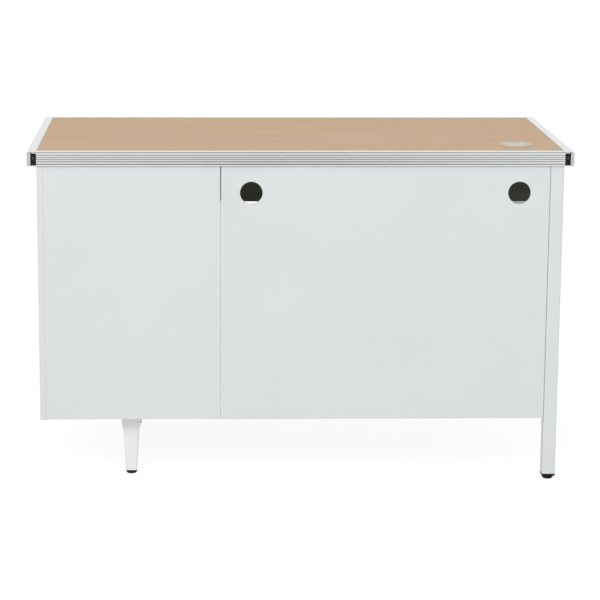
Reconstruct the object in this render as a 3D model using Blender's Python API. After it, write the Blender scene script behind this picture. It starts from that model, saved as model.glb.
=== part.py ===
"""Steel office desk with a three-drawer pedestal, a centre drawer, a tube leg frame and an edged worktop.

Metres, +Z up, origin on the floor under the middle of the worktop. The rear of the desk, with its modesty
panel, faces -Y, and the person at the desk sits on the +Y side. Left is -X and right is +X.
"""

import math

import bmesh
import bpy
from mathutils import Vector

# Overall size
DESK_WIDTH = 1.200
DESK_DEPTH = 0.600
DESK_HEIGHT = 0.750

# Fits and sheet metal
FIT_GAP = 0.0003
SHEET = 0.001
BEND_RADIUS = 0.0015
BEND_STEPS = 3

# Facets round a full turn on wide, middling and narrow round pieces
WIDE_ROUND = 36
ROUND = 24
NARROW_ROUND = 16

# Worktop board, laminate and edge trim
BOARD_THICKNESS = 0.030
LAMINATE_THICKNESS = 0.001
TRIM_PROUD = 0.0005
TRIM_WIDTH = 0.020
TRIM_NOSE = 0.008
TRIM_LIP = 0.0015
TRIM_TOP_RADIUS = 0.0014
TRIM_BOTTOM_RADIUS = 0.003
FLUTE_COUNT = 4
FLUTE_WIDTH = 0.0020
FLUTE_DEPTH = 0.0018
FLUTE_TOP_BAND = 0.0075
FLUTE_BOTTOM_BAND = 0.0108
TOP_GROOVE_DROP = 0.0026
BOTTOM_GROOVE_RISE = 0.0043
TONGUE_THICKNESS = 0.003
TONGUE_DEPTH = 0.010
TONGUE_SETBACK = 0.014

# Trim end caps
CAP_LENGTH = 0.018
CAP_RECESS = 0.001
CAP_BOSS_RADIUS = 0.0025
CAP_BOSS_HEIGHT = 0.0007
CAP_CORNER = 0.0006

# Cable grommet
GROMMET_FROM_SIDE = 0.113
GROMMET_FROM_REAR = 0.112
GROMMET_HOLE = 0.060
GROMMET_BORE = 0.055
GROMMET_FLANGE = 0.070
GROMMET_FLANGE_HEIGHT = 0.0022
GROMMET_SEAT = 0.0615
GROMMET_SEAT_DEPTH = 0.0013
GROMMET_SLEEVE = 0.020
SHUTTER_WEB = 0.002
SHUTTER_HUB = 0.014
SHUTTER_PIVOT = 0.006
SHUTTER_PIVOT_LENGTH = 0.005
SHUTTER_THICKNESS = 0.0015
SHUTTER_SLOT = 0.020
SHUTTER_SLOT_INNER = 0.012

# Steel body
REAR_INSET = 0.008
FRONT_INSET = 0.030
GROUND_CLEARANCE = 0.144
PEDESTAL_WIDTH = 0.402
HEM_WIDTH = 0.0032
HEM_LENGTH = 0.008
REAR_RETURN = 0.013
BACK_PANEL_LIFT = 0.0012
SILL_HEIGHT = 0.015
FLOOR_UPSTAND = 0.020
RAIL_HEIGHT = 0.030
RAIL_TOP_FLANGE = 0.025
RAIL_BOTTOM_FLANGE = 0.015

# Modesty panel
PANEL_SEAM = 0.0006
PANEL_RETURN = 0.020
RELIEF_HEIGHT = 0.076
RELIEF_CLEAR = 0.0003
CABLE_HOLE = 0.050
CABLE_HOLE_FROM_END = 0.0676
CABLE_HOLE_DROP = 0.060
CABLE_COLLAR = 0.005

# Leg frame
LEG_SIDE = 0.030
LEG_WALL = 0.0015
LEG_CORNER = 0.003
LEG_RAIL_HEIGHT = 0.075

# Glides and leg plugs
GLIDE_DIAMETER = 0.025
GLIDE_HEIGHT = 0.0085
GLIDE_ROUND = 0.005
STEM_DIAMETER = 0.008
STEM_LENGTH = 0.022
PLUG_FLANGE = 0.0045
PLUG_DEPTH = 0.018

# Tapered pedestal legs with their brackets
TAPER_TOP = 0.038
TAPER_FOOT = 0.025
TAPER_WALL = 0.002
TAPER_CORNER = 0.004
TAPER_FOOT_PLATE = 0.003
TAPER_INSET = 0.072
TAPER_TENON = 0.008
BRACKET_WIDTH = 0.042
BRACKET_LENGTH = 0.150
BRACKET_HEIGHT = 0.029
BRACKET_WALL = 0.003
BRACKET_OVERHANG = 0.024

# Drawers
FRONT_DEPTH = 0.018
FRONT_GAP = 0.003
FRONT_SIDE_GAP = 0.002
FRONT_LIP = 0.016
BOX_FRONT_HEIGHT = 0.120
CENTRE_FRONT_HEIGHT = 0.078
BOX_TRAY_HEIGHT = 0.085
FILE_TRAY_HEIGHT = 0.235
CENTRE_TRAY_HEIGHT = 0.062
TRAY_LENGTH = 0.480
CENTRE_TRAY_LENGTH = 0.400
TRAY_DROP = 0.028
CENTRE_TRAY_DROP = 0.008
TRAY_FLANGE = 0.010
TRAY_WALL_DROP = 0.004
RUNNER_SPACE = 0.0135

# Handles
HANDLE_SPAN = 0.128
HANDLE_REACH = 0.026
HANDLE_DIAMETER = 0.009
HANDLE_BEND = 0.011
HANDLE_DROP = 0.060
CENTRE_HANDLE_DROP = 0.039

# Runners and rollers
RUNNER_SHEET = 0.0012
RUNNER_WIDTH = 0.012
RUNNER_SETBACK = 0.036
RUNNER_LENGTH = 0.440
RUNNER_HOLD_DOWN = 0.003
HANGER_DROP = 0.052
HANGER_CLEAR = 0.001
ROLLER_DIAMETER = 0.018
ROLLER_WIDTH = 0.008
ROLLER_SETBACK = 0.012
ROLLER_PLAY = 0.0005
AXLE_DIAMETER = 0.005
AXLE_HEAD = 0.008
AXLE_HEAD_THICKNESS = 0.001

# Gang lock
LOCK_FROM_SIDE = 0.035
LOCK_DROP = 0.015
LOCK_BODY = 0.018
LOCK_FACE = 0.022
LOCK_FACE_HEIGHT = 0.0022
LOCK_LENGTH = 0.014
CRANK_DIAMETER = 0.023
CRANK_THICKNESS = 0.0025
CRANK_RADIUS = 0.008
CRANK_PIN = 0.004
CRANK_PIN_LENGTH = 0.006
KEYWAY_LENGTH = 0.007
KEYWAY_WIDTH = 0.0014
KEYWAY_DEPTH = 0.003
BAR_THICKNESS = 0.0015
BAR_WIDTH = 0.014
BAR_SETBACK = 0.012
BAR_ARM_HEIGHT = 0.010
BAR_ARM_THICKNESS = 0.002
BAR_PIN_PLAY = 0.0005
HOOK_REACH = 0.012
HOOK_HEIGHT = 0.010
HOOK_THICKNESS = 0.003
HOOK_REST_GAP = 0.002
LUG_DROP = 0.032
LUG_HEIGHT = 0.014
LUG_REACH = 0.007
LUG_GAP = 0.003
LUG_THICKNESS = 0.003

# Levels and faces that follow from the sizes above
TRIM_HEIGHT = TRIM_PROUD + LAMINATE_THICKNESS + FIT_GAP + BOARD_THICKNESS
CARCASS_TOP = DESK_HEIGHT - TRIM_HEIGHT - FIT_GAP
BODY_SIDE = DESK_WIDTH / 2 - TRIM_WIDTH
BOARD_END = DESK_DEPTH / 2 - TRIM_WIDTH
REAR_FACE = -DESK_DEPTH / 2 + REAR_INSET
FRONT_FACE = DESK_DEPTH / 2 - FRONT_INSET
RAIL_BOTTOM = CARCASS_TOP - RAIL_HEIGHT
PEDESTAL_CENTRE = -BODY_SIDE + PEDESTAL_WIDTH / 2
PEDESTAL_WALL = PEDESTAL_WIDTH / 2 - SHEET
KNEE_LEFT = -BODY_SIDE + PEDESTAL_WIDTH
KNEE_RIGHT = BODY_SIDE - LEG_SIDE
KNEE_CENTRE = (KNEE_LEFT + KNEE_RIGHT) / 2
LEG_CENTRE = BODY_SIDE - LEG_SIDE / 2
PLUG_BOTTOM = GLIDE_HEIGHT + FIT_GAP
LEG_BOTTOM = PLUG_BOTTOM + PLUG_FLANGE + FIT_GAP
CENTRE_TRAY_REACH = FRONT_DEPTH + FIT_GAP + CENTRE_TRAY_LENGTH
CENTRE_RUNNER_LENGTH = CENTRE_TRAY_REACH + HANGER_CLEAR + 2 * RUNNER_SHEET - RUNNER_SETBACK
CRANK_STEP = CRANK_RADIUS * math.sin(math.radians(45))


for old in list(bpy.data.objects):
    bpy.data.objects.remove(old)


def look(name, red, green, blue, roughness, metallic=0.0):
    """A plain material from screen colour values out of 255."""
    linear = []
    for value in (red, green, blue):
        share = value / 255
        linear.append(share / 12.92 if share <= 0.04045 else ((share + 0.055) / 1.055) ** 2.4)
    material = bpy.data.materials.new(name)
    material.use_nodes = True
    shader = material.node_tree.nodes["Principled BSDF"]
    shader.inputs["Base Color"].default_value = (*linear, 1.0)
    shader.inputs["Roughness"].default_value = roughness
    shader.inputs["Metallic"].default_value = metallic
    return material


WHITE_STEEL = look("white_steel", 222, 226, 227, 0.45)
GREY_STEEL = look("grey_steel", 74, 76, 74, 0.5)
ZINC_STEEL = look("zinc_steel", 168, 172, 176, 0.35, 1.0)
ALUMINIUM = look("aluminium", 205, 206, 206, 0.38, 1.0)
LAMINATE = look("laminate", 200, 174, 148, 0.5)
CHIPBOARD = look("chipboard", 176, 148, 112, 0.9)
BLACK_PLASTIC = look("black_plastic", 34, 34, 36, 0.5)
BEIGE_PLASTIC = look("beige_plastic", 204, 198, 186, 0.45)
NYLON = look("nylon", 232, 230, 222, 0.5)
NICKEL = look("nickel", 190, 188, 182, 0.25, 1.0)
HANDLE_METAL = look("handle_metal", 188, 190, 192, 0.3, 1.0)


def group(name, location, parent=None):
    """An empty that carries the pieces of one assembly."""
    empty = bpy.data.objects.new(name, None)
    bpy.context.scene.collection.objects.link(empty)
    empty.parent = parent
    empty.location = location
    return empty


def place(name, body, material, parent, location=(0, 0, 0), turn=(0, 0, 0)):
    """Makes the named object of a finished mesh, set by its parent, its location and its turn."""
    bmesh.ops.recalc_face_normals(body, faces=body.faces)
    mesh = bpy.data.meshes.new(name)
    body.to_mesh(mesh)
    body.free()
    mesh.shade_smooth()
    mesh.set_sharp_from_angle(angle=math.radians(30))
    mesh.materials.append(material)
    piece = bpy.data.objects.new(name, mesh)
    bpy.context.scene.collection.objects.link(piece)
    piece.parent = parent
    piece.location = location
    piece.rotation_euler = turn
    return piece


def lift(point, axis, along):
    """The space point of an outline point at a place along the axis it is drawn across."""
    first, second = point
    if axis == "X":
        return Vector((along, first, second))
    if axis == "Y":
        return Vector((first, along, second))
    return Vector((first, second, along))


def box(low, high):
    """A block between two corners."""
    outline = [(low[0], low[1]), (high[0], low[1]), (high[0], high[1]), (low[0], high[1])]
    return prism(outline, "Z", low[2], high[2])


def prism(outline, axis, start, end):
    """A closed outline extruded along an axis."""
    body = bmesh.new()
    base = body.faces.new([body.verts.new(lift(point, axis, start)) for point in outline])
    grown = bmesh.ops.extrude_face_region(body, geom=[base])
    moved = [item for item in grown["geom"] if isinstance(item, bmesh.types.BMVert)]
    bmesh.ops.translate(body, verts=moved, vec=lift((0, 0), axis, end - start))
    bmesh.ops.recalc_face_normals(body, faces=body.faces)
    return body


def loft(low_ring, low, high_ring, high):
    """A solid between two rings of equal count at two heights."""
    body = bmesh.new()
    bottom = [body.verts.new(lift(point, "Z", low)) for point in low_ring]
    top = [body.verts.new(lift(point, "Z", high)) for point in high_ring]
    body.faces.new(reversed(bottom))
    body.faces.new(top)
    for i, vert in enumerate(bottom):
        body.faces.new((bottom[i - 1], vert, top[i], top[i - 1]))
    return body


def tube(outer, inner, axis, start, end):
    """A hollow length between an outer and an inner outline of equal count."""
    body = bmesh.new()
    steps = ((outer, start), (outer, end), (inner, end), (inner, start))
    rings = [[body.verts.new(lift(point, axis, along)) for point in ring] for ring, along in steps]
    for i, ring in enumerate(rings):
        before = rings[i - 1]
        for j in range(len(ring)):
            body.faces.new((before[j - 1], before[j], ring[j], ring[j - 1]))
    return body


def turned(profile, steps):
    """A closed (radius, height) profile spun about Z."""
    body = bmesh.new()
    verts = [body.verts.new((radius, 0, height)) for radius, height in profile]
    edges = []
    for i, vert in enumerate(verts):
        if profile[i - 1][0] > 0 or profile[i][0] > 0:
            edges.append(body.edges.new((verts[i - 1], vert)))
    bmesh.ops.spin(body, geom=verts + edges, cent=(0, 0, 0), axis=(0, 0, 1), angle=math.tau, steps=steps,
                   use_merge=True)
    bmesh.ops.remove_doubles(body, verts=body.verts, dist=1e-6)
    bmesh.ops.recalc_face_normals(body, faces=body.faces)
    return body


def boolean(body, tool, operation):
    """The body after a Boolean with the tool; both meshes are used up."""
    operands = []
    for part in (body, tool):
        bmesh.ops.recalc_face_normals(part, faces=part.faces)
        mesh = bpy.data.meshes.new("operand")
        part.to_mesh(mesh)
        part.free()
        operand = bpy.data.objects.new("operand", mesh)
        bpy.context.scene.collection.objects.link(operand)
        operands.append(operand)
    step = operands[0].modifiers.new("step", "BOOLEAN")
    step.operation = operation
    step.solver = "EXACT"
    step.object = operands[1]
    result = bmesh.new()
    result.from_object(operands[0], bpy.context.evaluated_depsgraph_get())
    for operand in operands:
        bpy.data.objects.remove(operand)
    return result


def cut(body, *tools):
    """The body with each tool taken out of it."""
    for tool in tools:
        body = boolean(body, tool, "DIFFERENCE")
    return body


def join(body, *others):
    """The body made one with each of the others."""
    for other in others:
        body = boolean(body, other, "UNION")
    return body


def arc(centre, radius, start, end, steps):
    """Points along an arc, with its angles in degrees."""
    points = []
    for i in range(steps + 1):
        angle = math.radians(start + (end - start) * i / steps)
        points.append((centre[0] + radius * math.cos(angle), centre[1] + radius * math.sin(angle)))
    return points


def circle(radius, steps, centre=(0, 0)):
    """Points round a full circle."""
    return arc(centre, radius, 0, 360, steps)[:-1]


def rounded(width, height, radius, steps=3):
    """A rectangle about the middle with rounded corners."""
    x = width / 2 - radius
    y = height / 2 - radius
    points = []
    for i, centre in enumerate(((x, y), (-x, y), (-x, -y), (x, -y))):
        points += arc(centre, radius, 90 * i, 90 * i + 90, steps)
    return points


def bent_strip(path, thickness, bend_radius):
    """Outline of a bent sheet that lies to the left of the path, with an arc at each bend."""
    path = [Vector(point) for point in path]
    near = []
    far = []
    for i, corner in enumerate(path):
        before = (corner - path[i - 1]).normalized() if i > 0 else None
        after = (path[i + 1] - corner).normalized() if i + 1 < len(path) else None
        if before is None or after is None:
            along = before or after
            near.append(corner)
            far.append(corner + Vector((-along.y, along.x)) * thickness)
            continue
        side = 1 if before.x * after.y - before.y * after.x > 0 else -1
        near_radius = bend_radius if side > 0 else bend_radius - thickness
        far_radius = bend_radius - thickness if side > 0 else bend_radius
        bend = before.angle(after)
        inward = Vector((-before.y, before.x)) * side
        centre = corner - before * near_radius * math.tan(bend / 2) + inward * near_radius
        for k in range(BEND_STEPS + 1):
            angle = side * bend * k / BEND_STEPS
            spoke = Vector((
                -inward.x * math.cos(angle) + inward.y * math.sin(angle),
                -inward.x * math.sin(angle) - inward.y * math.cos(angle),
            ))
            near.append(centre + spoke * near_radius)
            far.append(centre + spoke * far_radius)
    return [tuple(point) for point in near + far[::-1]]


def pan(low, high, closed_axis, closed_side, sheet, radius):
    """A folded sheet pan with rounded outer edges, open on the side across from its closed face."""
    body = box(low, high)
    face = high[closed_axis] if closed_side > 0 else low[closed_axis]
    edges = []
    for edge in body.edges:
        if any(abs(vert.co[closed_axis] - face) < 1e-6 for vert in edge.verts):
            edges.append(edge)
    bmesh.ops.bevel(body, geom=edges, offset=radius, offset_type="OFFSET", segments=BEND_STEPS, profile=0.5,
                    affect="EDGES", material=-1)
    inner_low = [value + sheet for value in low]
    inner_high = [value - sheet for value in high]
    if closed_side > 0:
        inner_low[closed_axis] = low[closed_axis] - sheet
    else:
        inner_high[closed_axis] = high[closed_axis] + sheet
    return cut(body, box(inner_low, inner_high))


# Worktop
worktop = group("worktop", (0, 0, DESK_HEIGHT))
LAMINATE_TOP = -TRIM_PROUD
BOARD_TOP = LAMINATE_TOP - LAMINATE_THICKNESS - FIT_GAP
TRIM_INNER = TRIM_WIDTH - TRIM_NOSE
GROMMET_X = DESK_WIDTH / 2 - GROMMET_FROM_SIDE
GROMMET_Y = -DESK_DEPTH / 2 + GROMMET_FROM_REAR


def grommet_hole():
    """The drilled hole that the grommet sleeve passes through."""
    outline = circle(GROMMET_HOLE / 2, WIDE_ROUND, (GROMMET_X, GROMMET_Y))
    return prism(outline, "Z", -2 * TRIM_HEIGHT, TRIM_HEIGHT)


def board():
    """Chipboard core with a saw kerf round its edge for the trim tongues."""
    x = BODY_SIDE - FIT_GAP
    y = BOARD_END - FIT_GAP
    body = box((-x, -y, BOARD_TOP - BOARD_THICKNESS), (x, y, BOARD_TOP))
    depth = TONGUE_DEPTH + FIT_GAP
    half = TONGUE_THICKNESS / 2 + FIT_GAP
    outer = [(-x - depth, -y - depth), (x + depth, -y - depth), (x + depth, y + depth), (-x - depth, y + depth)]
    inner = [(-x + depth, -y + depth), (x - depth, -y + depth), (x - depth, y - depth), (-x + depth, y - depth)]
    kerf = tube(outer, inner, "Z", -TRIM_HEIGHT / 2 - half, -TRIM_HEIGHT / 2 + half)
    return cut(body, kerf, grommet_hole())


def laminate():
    """Laminate sheet over the core."""
    x = BODY_SIDE - FIT_GAP
    y = BOARD_END - FIT_GAP
    sheet = box((-x, -y, LAMINATE_TOP - LAMINATE_THICKNESS), (x, y, LAMINATE_TOP))
    return cut(sheet, grommet_hole())


def trim_outline():
    """Section of the edge extrusion as (outward, up) from the board's edge and the trim's top."""
    bottom = -TRIM_HEIGHT
    low_centre = (TRIM_WIDTH - TRIM_BOTTOM_RADIUS, bottom + TRIM_BOTTOM_RADIUS)
    top_centre = (TRIM_WIDTH - TRIM_TOP_RADIUS, -TRIM_TOP_RADIUS)
    pitch = (TRIM_HEIGHT - FLUTE_TOP_BAND - FLUTE_BOTTOM_BAND) / (FLUTE_COUNT - 1)
    grooves = [bottom + BOTTOM_GROOVE_RISE]
    grooves += [bottom + FLUTE_BOTTOM_BAND + i * pitch for i in range(FLUTE_COUNT)]
    grooves.append(-TOP_GROOVE_DROP)
    points = [(0, bottom)] + arc(low_centre, TRIM_BOTTOM_RADIUS, -90, 0, 3)
    for height in grooves:
        points.append((TRIM_WIDTH, height - FLUTE_WIDTH / 2))
        points.append((TRIM_WIDTH - FLUTE_DEPTH, height))
        points.append((TRIM_WIDTH, height + FLUTE_WIDTH / 2))
    points += arc(top_centre, TRIM_TOP_RADIUS, 0, 90, 3)
    points += [(0, 0), (0, -TRIM_LIP), (TRIM_INNER, -TRIM_LIP)]
    points += [(TRIM_INNER, bottom + TRIM_LIP), (0, bottom + TRIM_LIP)]
    return points


def edge_trim(name, length, board_length, location, turn):
    """One length of fluted extrusion with the tongue that is pressed into the board's kerf."""
    body = prism(trim_outline(), "X", -length / 2, length / 2)
    reach = board_length / 2 - TONGUE_SETBACK
    middle = -TRIM_HEIGHT / 2
    low = (-reach, -TONGUE_DEPTH, middle - TONGUE_THICKNESS / 2)
    high = (reach, TRIM_INNER + TRIM_NOSE / 2, middle + TONGUE_THICKNESS / 2)
    place(name, join(body, box(low, high)), ALUMINIUM, worktop, location, (0, 0, turn))


def end_cap(name, x_side, y_side):
    """Black plug that closes one open end of a side trim, with a round boss on its face."""
    half = TRIM_INNER / 2 - FIT_GAP
    tall = TRIM_HEIGHT / 2 - TRIM_LIP - FIT_GAP
    body = prism(rounded(2 * half, 2 * tall, CAP_CORNER), "Y", 0, CAP_LENGTH)
    boss = prism(circle(CAP_BOSS_RADIUS, NARROW_ROUND), "Y", -CAP_BOSS_HEIGHT, CAP_LENGTH / 2)
    location = (
        x_side * (BODY_SIDE + TRIM_INNER / 2),
        y_side * (DESK_DEPTH / 2 - CAP_RECESS),
        -TRIM_HEIGHT / 2,
    )
    place(name, join(body, boss), BLACK_PLASTIC, worktop, location, (0, 0, math.pi if y_side > 0 else 0))


def grommet_liner():
    """Flanged sleeve with a half web under the shutter and a hub for its pivot."""
    flange_top = FIT_GAP + GROMMET_FLANGE_HEIGHT
    seat = flange_top - GROMMET_SEAT_DEPTH
    bore = GROMMET_BORE / 2
    sleeve = GROMMET_HOLE / 2 - FIT_GAP
    edge = GROMMET_FLANGE / 2
    ease = GROMMET_FLANGE_HEIGHT / 3
    body = turned([
        (bore, -GROMMET_SLEEVE),
        (sleeve, -GROMMET_SLEEVE),
        (sleeve, FIT_GAP),
        (edge, FIT_GAP),
        (edge, flange_top - ease),
        (edge - ease, flange_top),
        (GROMMET_SEAT / 2, flange_top),
        (GROMMET_SEAT / 2, seat),
        (bore, seat),
    ], WIDE_ROUND)
    web_outline = arc((0, 0), (bore + sleeve) / 2, 0, 180, WIDE_ROUND // 2)
    web_outline += arc((0, 0), SHUTTER_HUB / 2, 180, 360, NARROW_ROUND // 2)
    web = prism(web_outline, "Z", seat - SHUTTER_WEB - FIT_GAP, seat - FIT_GAP)
    pivot = prism(circle(SHUTTER_PIVOT / 2 + FIT_GAP, NARROW_ROUND), "Z", -GROMMET_SLEEVE, GROMMET_SLEEVE)
    return cut(join(body, web), pivot)


def grommet_shutter():
    """Turning cap with a cable slot that the liner's web covers at rest."""
    bottom = 2 * FIT_GAP + GROMMET_FLANGE_HEIGHT - GROMMET_SEAT_DEPTH
    top = bottom + SHUTTER_THICKNESS
    edge = GROMMET_SEAT / 2 - FIT_GAP
    ease = SHUTTER_THICKNESS / 3
    pin = SHUTTER_PIVOT / 2
    body = turned([
        (0, bottom - SHUTTER_PIVOT_LENGTH),
        (pin, bottom - SHUTTER_PIVOT_LENGTH),
        (pin, bottom),
        (edge, bottom),
        (edge, top - ease),
        (edge - ease, top),
        (0, top),
    ], WIDE_ROUND)
    half = SHUTTER_SLOT / 2
    outline = arc((0, SHUTTER_SLOT_INNER + half), half, 180, 360, NARROW_ROUND // 2)
    outline += [(half, 2 * edge), (-half, 2 * edge)]
    return cut(body, prism(outline, "Z", bottom - SHUTTER_THICKNESS, top + SHUTTER_THICKNESS))


place("worktop_board", board(), CHIPBOARD, worktop)
place("worktop_laminate", laminate(), LAMINATE, worktop)
cross_length = 2 * (BODY_SIDE - FIT_GAP)
edge_trim("rear_edge_trim", cross_length, 2 * BODY_SIDE, (0, -BOARD_END, 0), math.pi)
edge_trim("front_edge_trim", cross_length, 2 * BODY_SIDE, (0, BOARD_END, 0), 0)
edge_trim("left_edge_trim", DESK_DEPTH, 2 * BOARD_END, (-BODY_SIDE, 0, 0), math.pi / 2)
edge_trim("right_edge_trim", DESK_DEPTH, 2 * BOARD_END, (BODY_SIDE, 0, 0), -math.pi / 2)
end_cap("rear_left_end_cap", -1, -1)
end_cap("rear_right_end_cap", 1, -1)
end_cap("front_left_end_cap", -1, 1)
end_cap("front_right_end_cap", 1, 1)
place("grommet_liner", grommet_liner(), BEIGE_PLASTIC, worktop, (GROMMET_X, GROMMET_Y, LAMINATE_TOP))
place("grommet_shutter", grommet_shutter(), BEIGE_PLASTIC, worktop, (GROMMET_X, GROMMET_Y, LAMINATE_TOP))


# Pedestal carcass
pedestal = group("pedestal", (PEDESTAL_CENTRE, 0, 0))
SIDE_FACE = PEDESTAL_WIDTH / 2
FOLD_CLEAR = SIDE_FACE - HEM_WIDTH - FIT_GAP


def side_outline(rear):
    """Plan of a side sheet on the left, with a folded front hem and a rear return."""
    path = [
        (-SIDE_FACE + HEM_WIDTH, FRONT_FACE - HEM_LENGTH),
        (-SIDE_FACE + HEM_WIDTH, FRONT_FACE),
        (-SIDE_FACE, FRONT_FACE),
        (-SIDE_FACE, rear),
        (-SIDE_FACE + REAR_RETURN, rear),
    ]
    return bent_strip(path, SHEET, BEND_RADIUS)


def rail_outline():
    """Section of a front rail: a face with a flange at its top and its bottom."""
    path = [
        (FRONT_FACE - RAIL_BOTTOM_FLANGE, RAIL_BOTTOM),
        (FRONT_FACE, RAIL_BOTTOM),
        (FRONT_FACE, CARCASS_TOP),
        (FRONT_FACE - RAIL_TOP_FLANGE, CARCASS_TOP),
    ]
    return bent_strip(path, SHEET, BEND_RADIUS)


def pedestal_floor():
    """Bottom sheet with a rear upstand and a hemmed front sill, notched round the side hems."""
    rear = REAR_FACE + 2 * (SHEET + FIT_GAP)
    path = [
        (rear, GROUND_CLEARANCE + FLOOR_UPSTAND),
        (rear, GROUND_CLEARANCE),
        (FRONT_FACE, GROUND_CLEARANCE),
        (FRONT_FACE, GROUND_CLEARANCE + SILL_HEIGHT),
        (FRONT_FACE - HEM_LENGTH, GROUND_CLEARANCE + SILL_HEIGHT),
    ]
    reach = PEDESTAL_WALL - FIT_GAP
    body = prism(bent_strip(path, SHEET, BEND_RADIUS), "X", -reach, reach)
    notch_y = FRONT_FACE - HEM_LENGTH - FIT_GAP
    low = GROUND_CLEARANCE - SILL_HEIGHT
    high = GROUND_CLEARANCE + 2 * SILL_HEIGHT
    left = box((-SIDE_FACE, notch_y, low), (-FOLD_CLEAR, FRONT_FACE + SHEET, high))
    right = box((FOLD_CLEAR, notch_y, low), (SIDE_FACE, FRONT_FACE + SHEET, high))
    return cut(body, left, right)


def lock_rail():
    """Front top rail of the pedestal, bored for the lock."""
    body = prism(rail_outline(), "X", -FOLD_CLEAR, FOLD_CLEAR)
    bore = circle(LOCK_BODY / 2 + FIT_GAP, ROUND, (LOCK_X, CARCASS_TOP - LOCK_DROP))
    return cut(body, prism(bore, "Y", FRONT_FACE - 2 * SHEET, FRONT_FACE + SHEET))


LOCK_X = PEDESTAL_WALL - LOCK_FROM_SIDE
outer_side = side_outline(REAR_FACE)
inner_side = [(-x, y) for x, y in side_outline(REAR_FACE + SHEET + FIT_GAP)]
place("pedestal_outer_side", prism(outer_side, "Z", GROUND_CLEARANCE, CARCASS_TOP), WHITE_STEEL, pedestal)
place("pedestal_inner_side", prism(inner_side, "Z", GROUND_CLEARANCE, CARCASS_TOP), WHITE_STEEL, pedestal)
back_panel = box(
    (-SIDE_FACE + REAR_RETURN + FIT_GAP, REAR_FACE, GROUND_CLEARANCE + BACK_PANEL_LIFT),
    (SIDE_FACE, REAR_FACE + SHEET, CARCASS_TOP),
)
place("pedestal_back_panel", back_panel, WHITE_STEEL, pedestal)
place("pedestal_floor", pedestal_floor(), WHITE_STEEL, pedestal)
place("pedestal_lock_rail", lock_rail(), WHITE_STEEL, pedestal)


# Modesty panel and front rail across the knee space
knee = group("knee_space", (KNEE_CENTRE, 0, 0))
KNEE_HALF = (KNEE_RIGHT - KNEE_LEFT) / 2


def modesty_panel():
    """Folded panel with two plunged cable holes, and no return beside the top of the pedestal."""
    half = KNEE_HALF - PANEL_SEAM
    low = (-half, REAR_FACE, GROUND_CLEARANCE)
    high = (half, REAR_FACE + PANEL_RETURN, CARCASS_TOP)
    relief_low = (-half - SHEET, REAR_FACE - SHEET, CARCASS_TOP - RELIEF_HEIGHT)
    relief_high = (-half + SHEET + RELIEF_CLEAR, REAR_FACE + 2 * PANEL_RETURN, CARCASS_TOP + SHEET)
    body = cut(pan(low, high, 1, -1, SHEET, BEND_RADIUS), box(relief_low, relief_high))
    for side in (-1, 1):
        centre = (side * (half - CABLE_HOLE_FROM_END), CARCASS_TOP - CABLE_HOLE_DROP)
        collar = prism(circle(CABLE_HOLE / 2 + SHEET, WIDE_ROUND, centre), "Y", REAR_FACE + SHEET / 2,
                       REAR_FACE + CABLE_COLLAR)
        outline = circle(CABLE_HOLE / 2, WIDE_ROUND, centre)
        hole = prism(outline, "Y", REAR_FACE - SHEET, REAR_FACE + 2 * CABLE_COLLAR)
        body = cut(join(body, collar), hole)
    return body


place("modesty_panel", modesty_panel(), WHITE_STEEL, knee)
rail_half = KNEE_HALF - FIT_GAP
place("knee_front_rail", prism(rail_outline(), "X", -rail_half, rail_half), WHITE_STEEL, knee)


# Leg frame
leg_frame = group("leg_frame", (LEG_CENTRE, 0, 0))
REAR_LEG_Y = REAR_FACE + LEG_SIDE / 2
FRONT_LEG_Y = FRONT_FACE - LEG_SIDE / 2
LEG_BORE = LEG_SIDE - 2 * LEG_WALL


def leg_tube():
    """Square tube leg, open at its foot for the plug."""
    outer = rounded(LEG_SIDE, LEG_SIDE, LEG_CORNER)
    inner = rounded(LEG_BORE, LEG_BORE, LEG_CORNER - LEG_WALL)
    return tube(outer, inner, "Z", LEG_BOTTOM, CARCASS_TOP)


def leg_rail():
    """Rectangular tube that joins the two legs under the worktop and carries a drawer runner."""
    middle = CARCASS_TOP - LEG_RAIL_HEIGHT / 2
    outer = rounded(LEG_SIDE, LEG_RAIL_HEIGHT, LEG_CORNER)
    inner = rounded(LEG_BORE, LEG_RAIL_HEIGHT - 2 * LEG_WALL, LEG_CORNER - LEG_WALL)
    outer = [(x, z + middle) for x, z in outer]
    inner = [(x, z + middle) for x, z in inner]
    start = REAR_LEG_Y + LEG_SIDE / 2 + FIT_GAP
    return tube(outer, inner, "Y", start, FRONT_LEG_Y - LEG_SIDE / 2 - FIT_GAP)


def leg_plug():
    """Square plastic plug with a flange under the tube and a bore for the glide's stem."""
    flange = prism(rounded(LEG_SIDE, LEG_SIDE, LEG_CORNER), "Z", PLUG_BOTTOM, PLUG_BOTTOM + PLUG_FLANGE)
    side = LEG_BORE - 2 * FIT_GAP
    shank = prism(rounded(side, side, LEG_CORNER - LEG_WALL), "Z", PLUG_BOTTOM + PLUG_FLANGE / 2,
                  LEG_BOTTOM + PLUG_DEPTH)
    bore = prism(circle(STEM_DIAMETER / 2 + FIT_GAP, ROUND), "Z", 0, 2 * (LEG_BOTTOM + PLUG_DEPTH))
    return cut(join(flange, shank), bore)


def glide():
    """Round levelling glide with a rounded foot edge and a stem."""
    edge = GLIDE_DIAMETER / 2
    stem = STEM_DIAMETER / 2
    foot = arc((edge - GLIDE_ROUND, GLIDE_ROUND), GLIDE_ROUND, -90, 0, 3)
    top = GLIDE_HEIGHT + STEM_LENGTH
    return turned([(0, 0)] + foot + [(edge, GLIDE_HEIGHT), (stem, GLIDE_HEIGHT), (stem, top), (0, top)], ROUND)


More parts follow.
